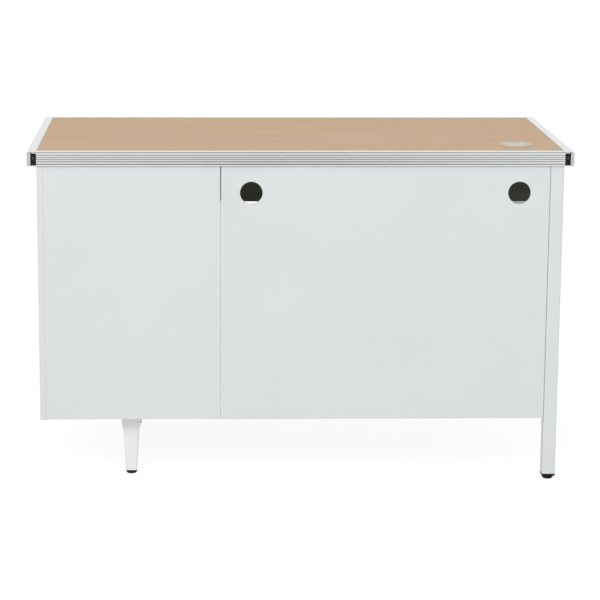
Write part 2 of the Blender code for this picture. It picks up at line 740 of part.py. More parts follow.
place("rear_leg_tube", leg_tube(), WHITE_STEEL, leg_frame, (0, REAR_LEG_Y, 0))
place("front_leg_tube", leg_tube(), WHITE_STEEL, leg_frame, (0, FRONT_LEG_Y, 0))
place("leg_frame_rail", leg_rail(), WHITE_STEEL, leg_frame)
place("rear_leg_plug", leg_plug(), BLACK_PLASTIC, leg_frame, (0, REAR_LEG_Y, 0))
place("front_leg_plug", leg_plug(), BLACK_PLASTIC, leg_frame, (0, FRONT_LEG_Y, 0))
place("rear_right_glide", glide(), BLACK_PLASTIC, leg_frame, (0, REAR_LEG_Y, 0))
place("front_right_glide", glide(), BLACK_PLASTIC, leg_frame, (0, FRONT_LEG_Y, 0))


# Tapered legs under the pedestal
def tapered_leg():
    """Tapered square leg welded into a bracket that opens downward, about the leg's axis on the floor."""
    bracket_top = GROUND_CLEARANCE - FIT_GAP
    bracket_bottom = bracket_top - BRACKET_HEIGHT
    half = BRACKET_WIDTH / 2
    low = (-half, -BRACKET_OVERHANG, bracket_bottom)
    high = (half, BRACKET_LENGTH - BRACKET_OVERHANG, bracket_top)
    bracket = pan(low, high, 2, 1, BRACKET_WALL, BEND_RADIUS)
    top = bracket_bottom + TAPER_TENON
    outer = loft(rounded(TAPER_FOOT, TAPER_FOOT, TAPER_CORNER), PLUG_BOTTOM,
                 rounded(TAPER_TOP, TAPER_TOP, TAPER_CORNER), top)
    inner_foot = TAPER_FOOT - 2 * TAPER_WALL
    inner_top = TAPER_TOP - 2 * TAPER_WALL
    inner_corner = TAPER_CORNER - TAPER_WALL
    hollow = loft(rounded(inner_foot, inner_foot, inner_corner), PLUG_BOTTOM + TAPER_FOOT_PLATE,
                  rounded(inner_top, inner_top, inner_corner), top + TAPER_WALL)
    stem = prism(circle(STEM_DIAMETER / 2 + FIT_GAP, ROUND), "Z", 0, 2 * (PLUG_BOTTOM + TAPER_FOOT_PLATE))
    return cut(join(bracket, outer), hollow, stem)


rear_taper = REAR_FACE + TAPER_INSET
front_taper = FRONT_FACE - TAPER_INSET
place("rear_tapered_leg", tapered_leg(), WHITE_STEEL, pedestal, (0, rear_taper, 0))
place("front_tapered_leg", tapered_leg(), WHITE_STEEL, pedestal, (0, front_taper, 0), (0, 0, math.pi))
place("rear_left_glide", glide(), BLACK_PLASTIC, pedestal, (0, rear_taper, 0))
place("front_left_glide", glide(), BLACK_PLASTIC, pedestal, (0, front_taper, 0))


# Drawers with their runners and rollers
def drawer_front(width, height):
    """Folded front with a lip turned in round its open back."""
    low = (-width / 2, -FRONT_DEPTH, -height)
    high = (width / 2, 0, 0)
    shell = pan(low, high, 1, 1, SHEET, BEND_RADIUS)
    outer = rounded(width - SHEET, height - SHEET, BEND_RADIUS)
    inner = rounded(width - 2 * FRONT_LIP, height - 2 * FRONT_LIP, BEND_RADIUS)
    outer = [(x, z - height / 2) for x, z in outer]
    inner = [(x, z - height / 2) for x, z in inner]
    lip = tube(outer, inner, "Y", -FRONT_DEPTH, -FRONT_DEPTH + SHEET)
    return join(shell, lip)


def drawer_tray(half, top, height, length, lug):
    """Folded tray closed at both ends, with runner flanges along its top; a lug takes the lock bar's hook."""
    under = top - SHEET
    bottom = top - height
    path = [
        (-half - TRAY_FLANGE, under),
        (-half, under),
        (-half, bottom),
        (half, bottom),
        (half, under),
        (half + TRAY_FLANGE, under),
    ]
    front = -FRONT_DEPTH - FIT_GAP
    rear = front - length
    body = prism(bent_strip(path, SHEET, BEND_RADIUS), "Y", rear, front)
    inset = SHEET / 2
    ends = rounded(2 * (half - inset), height - TRAY_WALL_DROP - inset, BEND_RADIUS)
    middle = (bottom + inset + top - TRAY_WALL_DROP) / 2
    ends = [(x, z + middle) for x, z in ends]
    body = join(body, prism(ends, "Y", rear, rear + SHEET), prism(ends, "Y", front - SHEET, front))
    if lug:
        y = -BAR_SETBACK - BAR_WIDTH - LUG_GAP
        low = (half - inset, y - LUG_THICKNESS, top - LUG_DROP - LUG_HEIGHT)
        high = (half + LUG_REACH, y, top - LUG_DROP)
        body = join(body, box(low, high))
    return body


def handle(name, parent, height):
    """Bent round-bar handle that stands on the front."""
    half = HANDLE_SPAN / 2
    y = HANDLE_REACH - HANDLE_DIAMETER / 2
    path = [(-half, FIT_GAP)]
    path += arc((-half + HANDLE_BEND, y - HANDLE_BEND), HANDLE_BEND, 180, 90, 5)
    path += arc((half - HANDLE_BEND, y - HANDLE_BEND), HANDLE_BEND, 90, 0, 5)
    path.append((half, FIT_GAP))
    curve = bpy.data.curves.new(name, "CURVE")
    curve.dimensions = "3D"
    curve.bevel_depth = HANDLE_DIAMETER / 2
    curve.bevel_resolution = 2
    curve.use_fill_caps = True
    line = curve.splines.new("POLY")
    line.points.add(len(path) - 1)
    for point, (x, along) in zip(line.points, path):
        point.co = (x, along, 0, 1)
    curve.materials.append(HANDLE_METAL)
    piece = bpy.data.objects.new(name, curve)
    bpy.context.scene.collection.objects.link(piece)
    piece.parent = parent
    piece.location = (0, 0, height)


def runner(side, length, hanger):
    """Steel channel for one side, about its roller axle at the wall, with the riveted axle stub.

    A hanger plate, given as its lowest and highest level, carries the rear end from the worktop.
    """
    roll = ROLLER_DIAMETER / 2
    top = roll + FIT_GAP + SHEET + RUNNER_HOLD_DOWN + RUNNER_SHEET
    bottom = -roll - ROLLER_PLAY - RUNNER_SHEET
    path = [
        (FIT_GAP + RUNNER_WIDTH, top),
        (FIT_GAP, top),
        (FIT_GAP, bottom),
        (FIT_GAP + RUNNER_WIDTH, bottom),
    ]
    outline = [(-side * x, z) for x, z in bent_strip(path, RUNNER_SHEET, BEND_RADIUS)]
    body = prism(outline, "Y", ROLLER_SETBACK - length, ROLLER_SETBACK)
    web = FIT_GAP + RUNNER_SHEET
    head = web + 2 * ROLLER_PLAY + ROLLER_WIDTH
    tip = head + AXLE_HEAD_THICKNESS
    root = web - RUNNER_SHEET / 2
    stub = prism(circle(AXLE_DIAMETER / 2, NARROW_ROUND), "X", -side * root, -side * (head + tip) / 2)
    rivet = prism(circle(AXLE_HEAD / 2, NARROW_ROUND), "X", -side * head, -side * tip)
    body = join(body, stub, rivet)
    if hanger:
        low, high = hanger
        near = FIT_GAP + RUNNER_SHEET / 2
        far = FIT_GAP + RUNNER_WIDTH - RUNNER_SHEET / 2
        left, right = sorted((-side * near, -side * far))
        rear = ROLLER_SETBACK - length + RUNNER_SHEET
        body = join(body, box((left, rear, low), (right, rear + RUNNER_SHEET, high)))
    return body


def roller():
    """Nylon roller, about its own axis along Z."""
    edge = ROLLER_DIAMETER / 2
    ease = ROLLER_WIDTH / 12
    half = ROLLER_WIDTH / 2
    bore = AXLE_DIAMETER / 2 + FIT_GAP
    return turned([
        (bore, -half),
        (edge - ease, -half),
        (edge, -half + ease),
        (edge, half - ease),
        (edge - ease, half),
        (bore, half),
    ], ROUND)


def drawer(name, left, right, width, height, top, tray_height, tray_drop, tray_length, runner_length, handle_drop,
           in_pedestal):
    """One drawer between two walls, with its front's top edge at a height, and what carries it.

    A pedestal drawer has a lug for the lock bar. The other hangs under the worktop on coated runners.
    """
    centre = (left + right) / 2
    half = (right - left) / 2 - RUNNER_SPACE
    carrier = group(name, (centre, FRONT_FACE, top))
    place(name + "_front", drawer_front(width, height), WHITE_STEEL, carrier)
    tray = drawer_tray(half, -tray_drop, tray_height, tray_length, in_pedestal)
    place(name + "_tray", tray, GREY_STEEL, carrier)
    handle(name + "_handle", carrier, -handle_drop)
    axle_y = FRONT_FACE - RUNNER_SETBACK - ROLLER_SETBACK
    axle_z = top - tray_drop - SHEET - FIT_GAP - ROLLER_DIAMETER / 2
    middle = FIT_GAP + RUNNER_SHEET + ROLLER_PLAY + ROLLER_WIDTH / 2
    hanger = None if in_pedestal else (-HANGER_DROP, CARCASS_TOP - axle_z)
    steel = ZINC_STEEL if in_pedestal else GREY_STEEL
    for word, wall, side in (("left", left, -1), ("right", right, 1)):
        body = runner(side, runner_length, hanger)
        place(f"{name}_{word}_runner", body, steel, None, (wall, axle_y, axle_z))
        place(f"{name}_{word}_roller", roller(), NYLON, None, (wall - side * middle, axle_y, axle_z),
              (0, math.pi / 2, 0))


PEDESTAL_LEFT = PEDESTAL_CENTRE - PEDESTAL_WALL
PEDESTAL_RIGHT = PEDESTAL_CENTRE + PEDESTAL_WALL
BOX_WIDTH = PEDESTAL_WIDTH - 2 * (HEM_WIDTH + FRONT_SIDE_GAP)
TOP_FRONT = RAIL_BOTTOM - FRONT_GAP
MIDDLE_FRONT = TOP_FRONT - BOX_FRONT_HEIGHT - FRONT_GAP
FILE_FRONT = MIDDLE_FRONT - BOX_FRONT_HEIGHT - FRONT_GAP
FILE_FRONT_HEIGHT = FILE_FRONT - GROUND_CLEARANCE - SILL_HEIGHT - FRONT_GAP
drawer("top_drawer", PEDESTAL_LEFT, PEDESTAL_RIGHT, BOX_WIDTH, BOX_FRONT_HEIGHT, TOP_FRONT, BOX_TRAY_HEIGHT,
       TRAY_DROP, TRAY_LENGTH, RUNNER_LENGTH, HANDLE_DROP, True)
drawer("middle_drawer", PEDESTAL_LEFT, PEDESTAL_RIGHT, BOX_WIDTH, BOX_FRONT_HEIGHT, MIDDLE_FRONT, BOX_TRAY_HEIGHT,
       TRAY_DROP, TRAY_LENGTH, RUNNER_LENGTH, HANDLE_DROP, True)
drawer("file_drawer", PEDESTAL_LEFT, PEDESTAL_RIGHT, BOX_WIDTH, FILE_FRONT_HEIGHT, FILE_FRONT, FILE_TRAY_HEIGHT,
       TRAY_DROP, TRAY_LENGTH, RUNNER_LENGTH, HANDLE_DROP, True)
drawer("centre_drawer", KNEE_LEFT, KNEE_RIGHT, KNEE_RIGHT - KNEE_LEFT - 2 * FRONT_SIDE_GAP, CENTRE_FRONT_HEIGHT,
       TOP_FRONT, CENTRE_TRAY_HEIGHT, CENTRE_TRAY_DROP, CENTRE_TRAY_LENGTH, CENTRE_RUNNER_LENGTH,
       CENTRE_HANDLE_DROP, False)


# Gang lock
def lock_cylinder():
    """Lock cylinder with its crank disc and crank pin, face up along Z, about its own axis."""
    face = LOCK_FACE / 2
    ease = LOCK_FACE_HEIGHT / 3
    body = LOCK_BODY / 2
    crank = CRANK_DIAMETER / 2
    top = FIT_GAP + LOCK_FACE_HEIGHT
    back = -LOCK_LENGTH - CRANK_THICKNESS
    solid = turned([
        (0, back),
        (crank, back),
        (crank, -LOCK_LENGTH),
        (body, -LOCK_LENGTH),
        (body, FIT_GAP),
        (face, FIT_GAP),
        (face, top - ease),
        (face - ease, top),
        (0, top),
    ], ROUND)
    pin = prism(circle(CRANK_PIN / 2, NARROW_ROUND, (CRANK_STEP, CRANK_STEP)), "Z", back - CRANK_PIN_LENGTH,
                -LOCK_LENGTH - CRANK_THICKNESS / 2)
    key_x = KEYWAY_WIDTH / 2
    key_y = KEYWAY_LENGTH / 2
    keyway = box((-key_x, -key_y, top - KEYWAY_DEPTH), (key_x, key_y, 2 * top))
    return cut(join(solid, pin), keyway)


def lock_bar():
    """Vertical lock bar with a hook below each drawer's lug and a slotted arm on the crank pin."""
    outer = PEDESTAL_WALL - FIT_GAP
    inner = outer - BAR_THICKNESS
    front = FRONT_FACE - BAR_SETBACK
    rear = front - BAR_WIDTH
    pin_z = CARCASS_TOP - LOCK_DROP - CRANK_STEP
    arm_top = pin_z + BAR_ARM_HEIGHT / 2
    arm_low = pin_z - BAR_ARM_HEIGHT / 2
    hook_tops = []
    for level in (TOP_FRONT, MIDDLE_FRONT, FILE_FRONT):
        hook_tops.append(level - TRAY_DROP - LUG_DROP - LUG_HEIGHT - HOOK_REST_GAP)
    body = box((inner, rear, min(hook_tops) - HOOK_HEIGHT), (outer, front, arm_top))
    for top in hook_tops:
        low = (outer - HOOK_REACH, rear, top - HOOK_HEIGHT)
        body = join(body, box(low, (outer - BAR_THICKNESS / 2, rear + HOOK_THICKNESS, top)))
    arm_y = FRONT_FACE - LOCK_LENGTH - CRANK_THICKNESS - CRANK_PIN_LENGTH / 2
    arm_end = LOCK_X + CRANK_STEP - CRANK_PIN - BAR_PIN_PLAY
    low = (arm_end - BAR_ARM_HEIGHT / 4, arm_y - BAR_ARM_THICKNESS / 2, arm_low)
    body = join(body, box(low, (outer - BAR_THICKNESS / 2, arm_y + BAR_ARM_THICKNESS / 2, arm_top)))
    slot_half = CRANK_PIN / 2 + BAR_PIN_PLAY
    slot_low = (LOCK_X + CRANK_STEP - slot_half, arm_y - BAR_ARM_THICKNESS, pin_z - slot_half)
    slot_high = (LOCK_X + CRANK_RADIUS + slot_half, arm_y + BAR_ARM_THICKNESS, pin_z + slot_half)
    return cut(body, box(slot_low, slot_high))


place("lock_cylinder", lock_cylinder(), NICKEL, pedestal, (LOCK_X, FRONT_FACE, CARCASS_TOP - LOCK_DROP),
      (-math.pi / 2, 0, 0))
place("lock_bar", lock_bar(), ZINC_STEEL, pedestal)
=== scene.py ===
import math

import bmesh
import bpy
from mathutils import Matrix, Vector


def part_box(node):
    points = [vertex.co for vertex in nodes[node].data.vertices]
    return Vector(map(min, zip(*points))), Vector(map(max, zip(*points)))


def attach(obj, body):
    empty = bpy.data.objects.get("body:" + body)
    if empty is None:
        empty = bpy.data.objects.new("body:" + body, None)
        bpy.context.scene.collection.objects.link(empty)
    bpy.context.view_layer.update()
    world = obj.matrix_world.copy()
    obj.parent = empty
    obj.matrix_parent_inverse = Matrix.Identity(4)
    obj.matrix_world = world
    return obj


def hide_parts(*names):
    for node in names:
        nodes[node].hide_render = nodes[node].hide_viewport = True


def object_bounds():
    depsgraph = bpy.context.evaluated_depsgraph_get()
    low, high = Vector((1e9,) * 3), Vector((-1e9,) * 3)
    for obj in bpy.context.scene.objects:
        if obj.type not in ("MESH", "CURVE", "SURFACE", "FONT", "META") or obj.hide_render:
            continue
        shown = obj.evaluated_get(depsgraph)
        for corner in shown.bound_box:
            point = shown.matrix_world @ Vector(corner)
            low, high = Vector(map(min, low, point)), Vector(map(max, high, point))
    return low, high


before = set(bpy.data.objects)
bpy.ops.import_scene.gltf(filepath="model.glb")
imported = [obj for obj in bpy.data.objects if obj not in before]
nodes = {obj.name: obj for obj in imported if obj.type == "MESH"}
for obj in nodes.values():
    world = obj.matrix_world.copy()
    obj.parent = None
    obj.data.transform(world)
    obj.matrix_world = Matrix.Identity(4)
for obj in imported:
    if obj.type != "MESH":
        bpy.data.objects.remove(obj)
cad_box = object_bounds()


# Tube leg frame
# Two square steel tubes and a deep cross rail, welded into one frame at the right-hand end of the desk.
# The steel is powder coated in a cool white, sprayed and baked, so it is faintly dimpled like orange peel.
EDGE_SAMPLES = 6
EDGE_SLIGHT_TURN = 0.99
EDGE_FULL_TURN = 0.80
NOISE_LOW = 0.3
NOISE_HIGH = 0.7
PEEL_SCALE = 420.0
PEEL_STRENGTH = 0.12
PEEL_DEPTH = 0.0002
CLOUD_SCALE = 5.0
PAINT_EDGE = 0.0005
PAINT_DULL = 0.52
PAINT_SHINY = 0.42


def screen_colour(red, green, blue):
    """Linear colour, with its alpha, of a screen colour out of 255, by the standard curve of screens."""
    linear = []
    for value in (red, green, blue):
        share = value / 255
        linear.append(share / 12.92 if share <= 0.04045 else ((share + 0.055) / 1.055) ** 2.4)
    return (*linear, 1.0)


def add_node(tree, kind, sockets, **settings):
    """One shader node with its settings, each named socket given a value or linked to an output."""
    made = tree.nodes.new("ShaderNode" + kind)
    for name, value in settings.items():
        setattr(made, name, value)
    for name, value in sockets.items():
        socket = next(entry for entry in made.inputs if name in (entry.identifier, entry.name))
        if isinstance(value, bpy.types.NodeSocket):
            tree.links.new(value, socket)
        else:
            socket.default_value = value
    return made


def own_place(tree):
    """Place on the surface, in metres along the desk's own axes."""
    return add_node(tree, "TexCoord", {}).outputs["Object"]


def noise(tree, place, scale, detail):
    """A cloudy value over the surface, finer with a larger scale."""
    return add_node(tree, "TexNoise", {"Vector": place, "Scale": scale, "Detail": detail}).outputs["Fac"]


def spread(tree, value, low, high, start=0.0, end=1.0):
    """A value moved from one range to another, held within it."""
    moved = {"Value": value, "From Min": low, "From Max": high, "To Min": start, "To Max": end}
    return add_node(tree, "MapRange", moved).outputs["Result"]


def blend(tree, share, first, second):
    """A colour that goes from the first to the second by a mask."""
    colours = {"Factor_Float": share, "A_Color": first, "B_Color": second}
    mixer = add_node(tree, "Mix", colours, data_type="RGBA")
    return next(entry for entry in mixer.outputs if entry.identifier == "Result_Color")


def relief(tree, height, strength, depth, normal=None):
    """The normal of a surface with a fine relief on it, laid over another normal where one is given."""
    sockets = {"Height": height, "Strength": strength, "Distance": depth}
    if normal is not None:
        sockets["Normal"] = normal
    return add_node(tree, "Bump", sockets).outputs["Normal"]


def start_group(name, inputs, outputs):
    """A shader group with named sockets, the outputs that feed it and the inputs that it fills."""
    group = bpy.data.node_groups.new(name, "ShaderNodeTree")
    for label, value in inputs.items():
        kind = "NodeSocketFloat" if isinstance(value, float) else "NodeSocketVector"
        group.interface.new_socket(label, in_out="INPUT", socket_type=kind).default_value = value
    for label, kind in outputs.items():
        group.interface.new_socket(label, in_out="OUTPUT", socket_type="NodeSocket" + kind)
    return group, group.nodes.new("NodeGroupInput").outputs, group.nodes.new("NodeGroupOutput").inputs


def use_group(tree, group, values):
    """A group placed in a material with that material's own values; returns its outputs."""
    made = tree.nodes.new("ShaderNodeGroup")
    made.node_tree = group
    for label, value in values.items():
        made.inputs[label].default_value = value
    return made.outputs


def start_material(name):
    """A new material, its tree and its one shader."""
    material = bpy.data.materials.new(name)
    material.use_nodes = True
    return material, material.node_tree, material.node_tree.nodes["Principled BSDF"]


def join_sockets(tree, shader, **outputs):
    """Links outputs to the shader's inputs, which are named with underscores for spaces."""
    for name, output in outputs.items():
        tree.links.new(output, shader.inputs[name.replace("_", " ")])


def dress(material, *names):
    """Gives solids that keep their shape a finish."""
    for name in names:
        nodes[name].data.materials.clear()
        nodes[name].data.materials.append(material)


eased_edges, given, result = start_group(
    "eased_edges",
    {"Radius": PAINT_EDGE},
    {"Normal": "Vector", "Edge": "Float"},
)
rounding = add_node(eased_edges, "Bevel", {"Radius": given["Radius"]}, samples=EDGE_SAMPLES)
rounded_normal = rounding.outputs["Normal"]
face_normal = add_node(eased_edges, "NewGeometry", {}).outputs["Normal"]
turn = add_node(eased_edges, "VectorMath", {"Vector": rounded_normal, "Vector_001": face_normal},
                operation="DOT_PRODUCT").outputs["Value"]
eased_edges.links.new(rounded_normal, result["Normal"])
eased_edges.links.new(spread(eased_edges, turn, EDGE_SLIGHT_TURN, EDGE_FULL_TURN), result["Edge"])

sprayed_coat, given, result = start_group(
    "sprayed_coat",
    {"Peel Scale": PEEL_SCALE, "Dull": PAINT_DULL, "Shiny": PAINT_SHINY},
    {"Tone": "Float", "Roughness": "Float", "Height": "Float"},
)
place = own_place(sprayed_coat)
peel = noise(sprayed_coat, place, given["Peel Scale"], detail=1.5)
cloud = noise(sprayed_coat, place, CLOUD_SCALE, detail=4.0)
gloss = spread(sprayed_coat, cloud, NOISE_LOW, NOISE_HIGH, given["Dull"], given["Shiny"])
sprayed_coat.links.new(peel, result["Height"])
sprayed_coat.links.new(spread(sprayed_coat, cloud, NOISE_LOW, NOISE_HIGH), result["Tone"])
sprayed_coat.links.new(gloss, result["Roughness"])


def painted_steel(name, deep, pale, edge):
    """Powder coat between two near tones, with a paler line over each edge: a painted highlight where the
    edge catches light, partly where the coat thins.
    """
    material, tree, shader = start_material(name)
    edges = use_group(tree, eased_edges, {"Radius": PAINT_EDGE})
    spray = {"Peel Scale": PEEL_SCALE, "Dull": PAINT_DULL, "Shiny": PAINT_SHINY}
    coat = use_group(tree, sprayed_coat, spray)
    # The edge tone is a painted highlight along the edges, partly the thinner coat there.
    tint = blend(tree, edges["Edge"], blend(tree, coat["Tone"], deep, pale), edge)
    normal = relief(tree, coat["Height"], PEEL_STRENGTH, PEEL_DEPTH, edges["Normal"])
    join_sockets(tree, shader, Base_Color=tint, Roughness=coat["Roughness"], Normal=normal)
    return material


white_coat = painted_steel(
    "white_coat",
    deep=screen_colour(220, 224, 225),
    pale=screen_colour(223, 227, 228),
    edge=screen_colour(229, 232, 233),
)
dress(white_coat, "rear_leg_tube", "front_leg_tube", "leg_frame_rail")


# Feet
# Round levelling glides of black polymer on a threaded stem, and square black plugs in the tube ends.
# They are injection moulded, with a fine spark texture, and the glides screw in by hand.
SPARK_SCALE = 1500.0
SPARK_STRENGTH = 0.15
SPARK_DEPTH = 0.0001
SCUFF_SCALE = 60.0
SCUFF_LOW = 0.35
SCUFF_HIGH = 0.70
PLASTIC_EDGE = 0.0006
SAME_PLACE = 1e-6
SHARP_ANGLE = 35
GLIDE_EDGE = 0.0125
GLIDE_HEIGHT = 0.0085
GLIDE_FOOT_ROUND = 0.005
GLIDE_TOP_ROUND = 0.0008
GLIDE_SIDES = 48
STEM_EDGE = 0.004

fine_texture, given, result = start_group(
    "fine_texture",
    {"Scale": SPARK_SCALE},
    {"Height": "Float", "Tone": "Float"},
)
place = own_place(fine_texture)
spark = noise(fine_texture, place, given["Scale"], detail=2.0)
scuff = noise(fine_texture, place, SCUFF_SCALE, detail=5.0)
fine_texture.links.new(spark, result["Height"])
fine_texture.links.new(spread(fine_texture, scuff, SCUFF_LOW, SCUFF_HIGH), result["Tone"])


def moulded_plastic(name, deep, pale, dull, shiny, mirror):
    """Moulded polymer with a fine spark texture and a little scuffing."""
    material, tree, shader = start_material(name)
    shader.inputs["Specular IOR Level"].default_value = mirror
    edges = use_group(tree, eased_edges, {"Radius": PLASTIC_EDGE})
    texture = use_group(tree, fine_texture, {"Scale": SPARK_SCALE})
    tint = blend(tree, texture["Tone"], deep, pale)
    gloss = spread(tree, texture["Tone"], 0.0, 1.0, shiny, dull)
    normal = relief(tree, texture["Height"], SPARK_STRENGTH, SPARK_DEPTH, edges["Normal"])
    join_sockets(tree, shader, Base_Color=tint, Roughness=gloss, Normal=normal)
    return material


def arc(centre, radius, start, end, steps):
    """Points along an arc, with its angles in degrees."""
    points = []
    for i in range(steps + 1):
        angle = math.radians(start + (end - start) * i / steps)
        points.append((centre[0] + radius * math.cos(angle), centre[1] + radius * math.sin(angle)))
    return points


def turn_profile(profile, sides):
    """A (radius, height) profile spun about Z into a closed form."""
    form = bmesh.new()
    verts = [form.verts.new((radius, 0, height)) for radius, height in profile]
    edges = [form.edges.new(pair) for pair in zip(verts, verts[1:])]
    bmesh.ops.spin(form, geom=verts + edges, cent=(0, 0, 0), axis=(0, 0, 1), angle=math.tau, steps=sides,
                   use_merge=True)
    bmesh.ops.remove_doubles(form, verts=form.verts, dist=SAME_PLACE)
    return form


def move(form, location, turn=None):
    """Turns a form about the origin, then puts it at a place."""
    if turn is not None:
        bmesh.ops.transform(form, matrix=turn, verts=form.verts)
    bmesh.ops.translate(form, vec=location, verts=form.verts)
    return form


def finish_piece(name, form, material, body, slot, *replaced):
    """Makes the object of a finished form, smooth but for its sharp edges, on the body that carries it."""
    bmesh.ops.remove_doubles(form, verts=form.verts, dist=SAME_PLACE)
    bmesh.ops.recalc_face_normals(form, faces=form.faces)
    mesh = bpy.data.meshes.new(name)
    form.to_mesh(mesh)
    form.free()
    mesh.shade_smooth()
    mesh.set_sharp_from_angle(angle=math.radians(SHARP_ANGLE))
    mesh.materials.append(material)
    piece = bpy.data.objects.new(name, mesh)
    bpy.context.scene.collection.objects.link(piece)
    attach(piece, body)
    if replaced:
        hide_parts(*replaced)
    return piece


black_polymer = moulded_plastic(
    "black_polymer",
    deep=screen_colour(20, 20, 21),
    pale=screen_colour(30, 30, 31),
    dull=0.55,
    shiny=0.42,
    mirror=0.15,
)
dress(black_polymer, "rear_leg_plug", "front_leg_plug")
for glide in ("rear_right_glide", "front_right_glide", "rear_left_glide", "front_left_glide"):
    low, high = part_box(glide)
    foot_centre = (GLIDE_EDGE - GLIDE_FOOT_ROUND, GLIDE_FOOT_ROUND)
    top_centre = (GLIDE_EDGE - GLIDE_TOP_ROUND, GLIDE_HEIGHT - GLIDE_TOP_ROUND)
    profile = [(0, 0)]
    profile += arc(foot_centre, GLIDE_FOOT_ROUND, -90, 0, steps=8)
    profile += arc(top_centre, GLIDE_TOP_ROUND, 0, 90, steps=4)
    profile += [(STEM_EDGE, GLIDE_HEIGHT), (STEM_EDGE, high.z), (0, high.z)]
    form = move(turn_profile(profile, GLIDE_SIDES), ((low.x + high.x) / 2, (low.y + high.y) / 2, 0))
    finish_piece(glide + "_foot", form, black_polymer, glide, "black_plastic", glide)


# Pedestal carcass
# Folded steel sheet: two sides with hems, a back panel, a floor with a sill, and a rail across the top.
# The sheets are spot welded and coated together, and the coat nearly fills the joint beside the back panel.
JOINT_WIDTH = 0.0003
BEAD_SINK = 0.00010
BEAD_DEPTH = 0.0008
dress(white_coat, "pedestal_outer_side", "pedestal_inner_side", "pedestal_back_panel", "pedestal_floor",
      "pedestal_lock_rail")


def new_verts(grown):
    """The points among newly grown geometry."""
    return [item for item in grown if isinstance(item, bmesh.types.BMVert)]


def new_edges(grown):
    """The edges among newly grown geometry."""
    return [item for item in grown if isinstance(item, bmesh.types.BMEdge)]


def thicken(form, height, ease=0.0):
    """Raises a flat face into a plate, with its upper rim rounded where a radius is given."""
    grown = bmesh.ops.extrude_face_region(form, geom=list(form.faces))["geom"]
    bmesh.ops.translate(form, vec=(0, 0, height), verts=new_verts(grown))
    if ease:
        bmesh.ops.bevel(form, geom=new_edges(grown), offset=ease, offset_type="OFFSET", segments=3,
                        profile=0.5, affect="EDGES", material=-1)
    return form


def plate(outline, bottom, top, ease=0.0):
    """A flat plate between two heights."""
    form = bmesh.new()
    form.faces.new([form.verts.new((x, y, bottom)) for x, y in outline])
    return thicken(form, top - bottom, ease)


low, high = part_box("pedestal_back_panel")
hollow = arc((low.x - JOINT_WIDTH / 2, low.y), JOINT_WIDTH / 2, 0, 180, steps=6)
outline = [(x, BEAD_SINK + y) for x, y in hollow]
outline += [(low.x - JOINT_WIDTH, low.y + BEAD_DEPTH), (low.x, low.y + BEAD_DEPTH)]
finish_piece("pedestal_joint_bead", plate(outline, low.z, high.z), white_coat, "desk_frame", "white_steel")


# Tapered legs
# Square steel legs that narrow to the foot, each welded into a bracket that is bolted under the pedestal.
# They are coated apart from the carcass, and their white is painted brighter and warmer as painted light
# for the glow they catch from the floor.
METAL_EDGE = 0.0004
LINE_STRENGTH = 0.04
LINE_DEPTH = 0.0001
BRACKET_WALL = 0.003
BOLT_RADIUS = 0.0065
BOLT_HEIGHT = 0.005
BOLT_SIDES = 6
BOLT_EASE = 0.0007
BOLT_FROM_END = 0.020
BOLT_PITCH = 0.048
# A white painted brighter than the carcass coat, as painted light on the legs.
lit_leg_white = painted_steel(
    "lit_leg_white",
    deep=screen_colour(242, 244, 242),
    pale=screen_colour(245, 247, 245),
    edge=screen_colour(248, 249, 248),
)
dress(lit_leg_white, "rear_tapered_leg", "front_tapered_leg")


def stretch_place(tree, place, stretch):
    """Place scaled along each axis, so that a pattern on it is drawn out where the scale is small."""
    sockets = {"Vector": place, "Vector_001": stretch}
    return add_node(tree, "VectorMath", sockets, operation="MULTIPLY").outputs["Vector"]


drawn_lines, given, result = start_group(
    "drawn_lines",
    {"Stretch": (4.0, 900.0, 900.0), "Dull": 0.40, "Shiny": 0.28},
    {"Line": "Float", "Roughness": "Float"},
)
pulled = stretch_place(drawn_lines, own_place(drawn_lines), given["Stretch"])
line = noise(drawn_lines, pulled, 1.0, detail=3.0)
gloss = spread(drawn_lines, line, NOISE_LOW, NOISE_HIGH, given["Dull"], given["Shiny"])
drawn_lines.links.new(line, result["Line"])
drawn_lines.links.new(gloss, result["Roughness"])


def drawn_metal(name, deep, pale, stretch, dull, shiny):
    """Bare metal with fine lines along the way it was drawn."""
    material, tree, shader = start_material(name)
    shader.inputs["Metallic"].default_value = 1.0
    edges = use_group(tree, eased_edges, {"Radius": METAL_EDGE})
    lines = use_group(tree, drawn_lines, {"Stretch": stretch, "Dull": dull, "Shiny": shiny})
    tint = blend(tree, lines["Line"], deep, pale)
    normal = relief(tree, lines["Line"], LINE_STRENGTH, LINE_DEPTH, edges["Normal"])
    join_sockets(tree, shader, Base_Color=tint, Roughness=lines["Roughness"], Normal=normal)
    return material


def facing(direction):
    """The turn that points a form's top in a direction."""
    return Vector((0, 0, 1)).rotation_difference(Vector(direction)).to_matrix().to_4x4()


def stud(radius, height, sides, ease):
    """A plain head on Z = 0 with its top rim eased."""
    form = bmesh.new()
    bmesh.ops.create_circle(form, cap_ends=True, segments=sides, radius=radius)
    return thicken(form, height, ease)


def gather(forms):
    """Several forms as the parts of one piece."""
    whole = bmesh.new()
    for form in forms:
        mesh = bpy.data.meshes.new("part")
        form.to_mesh(mesh)
        form.free()
        whole.from_mesh(mesh)
        bpy.data.meshes.remove(mesh)
    return whole


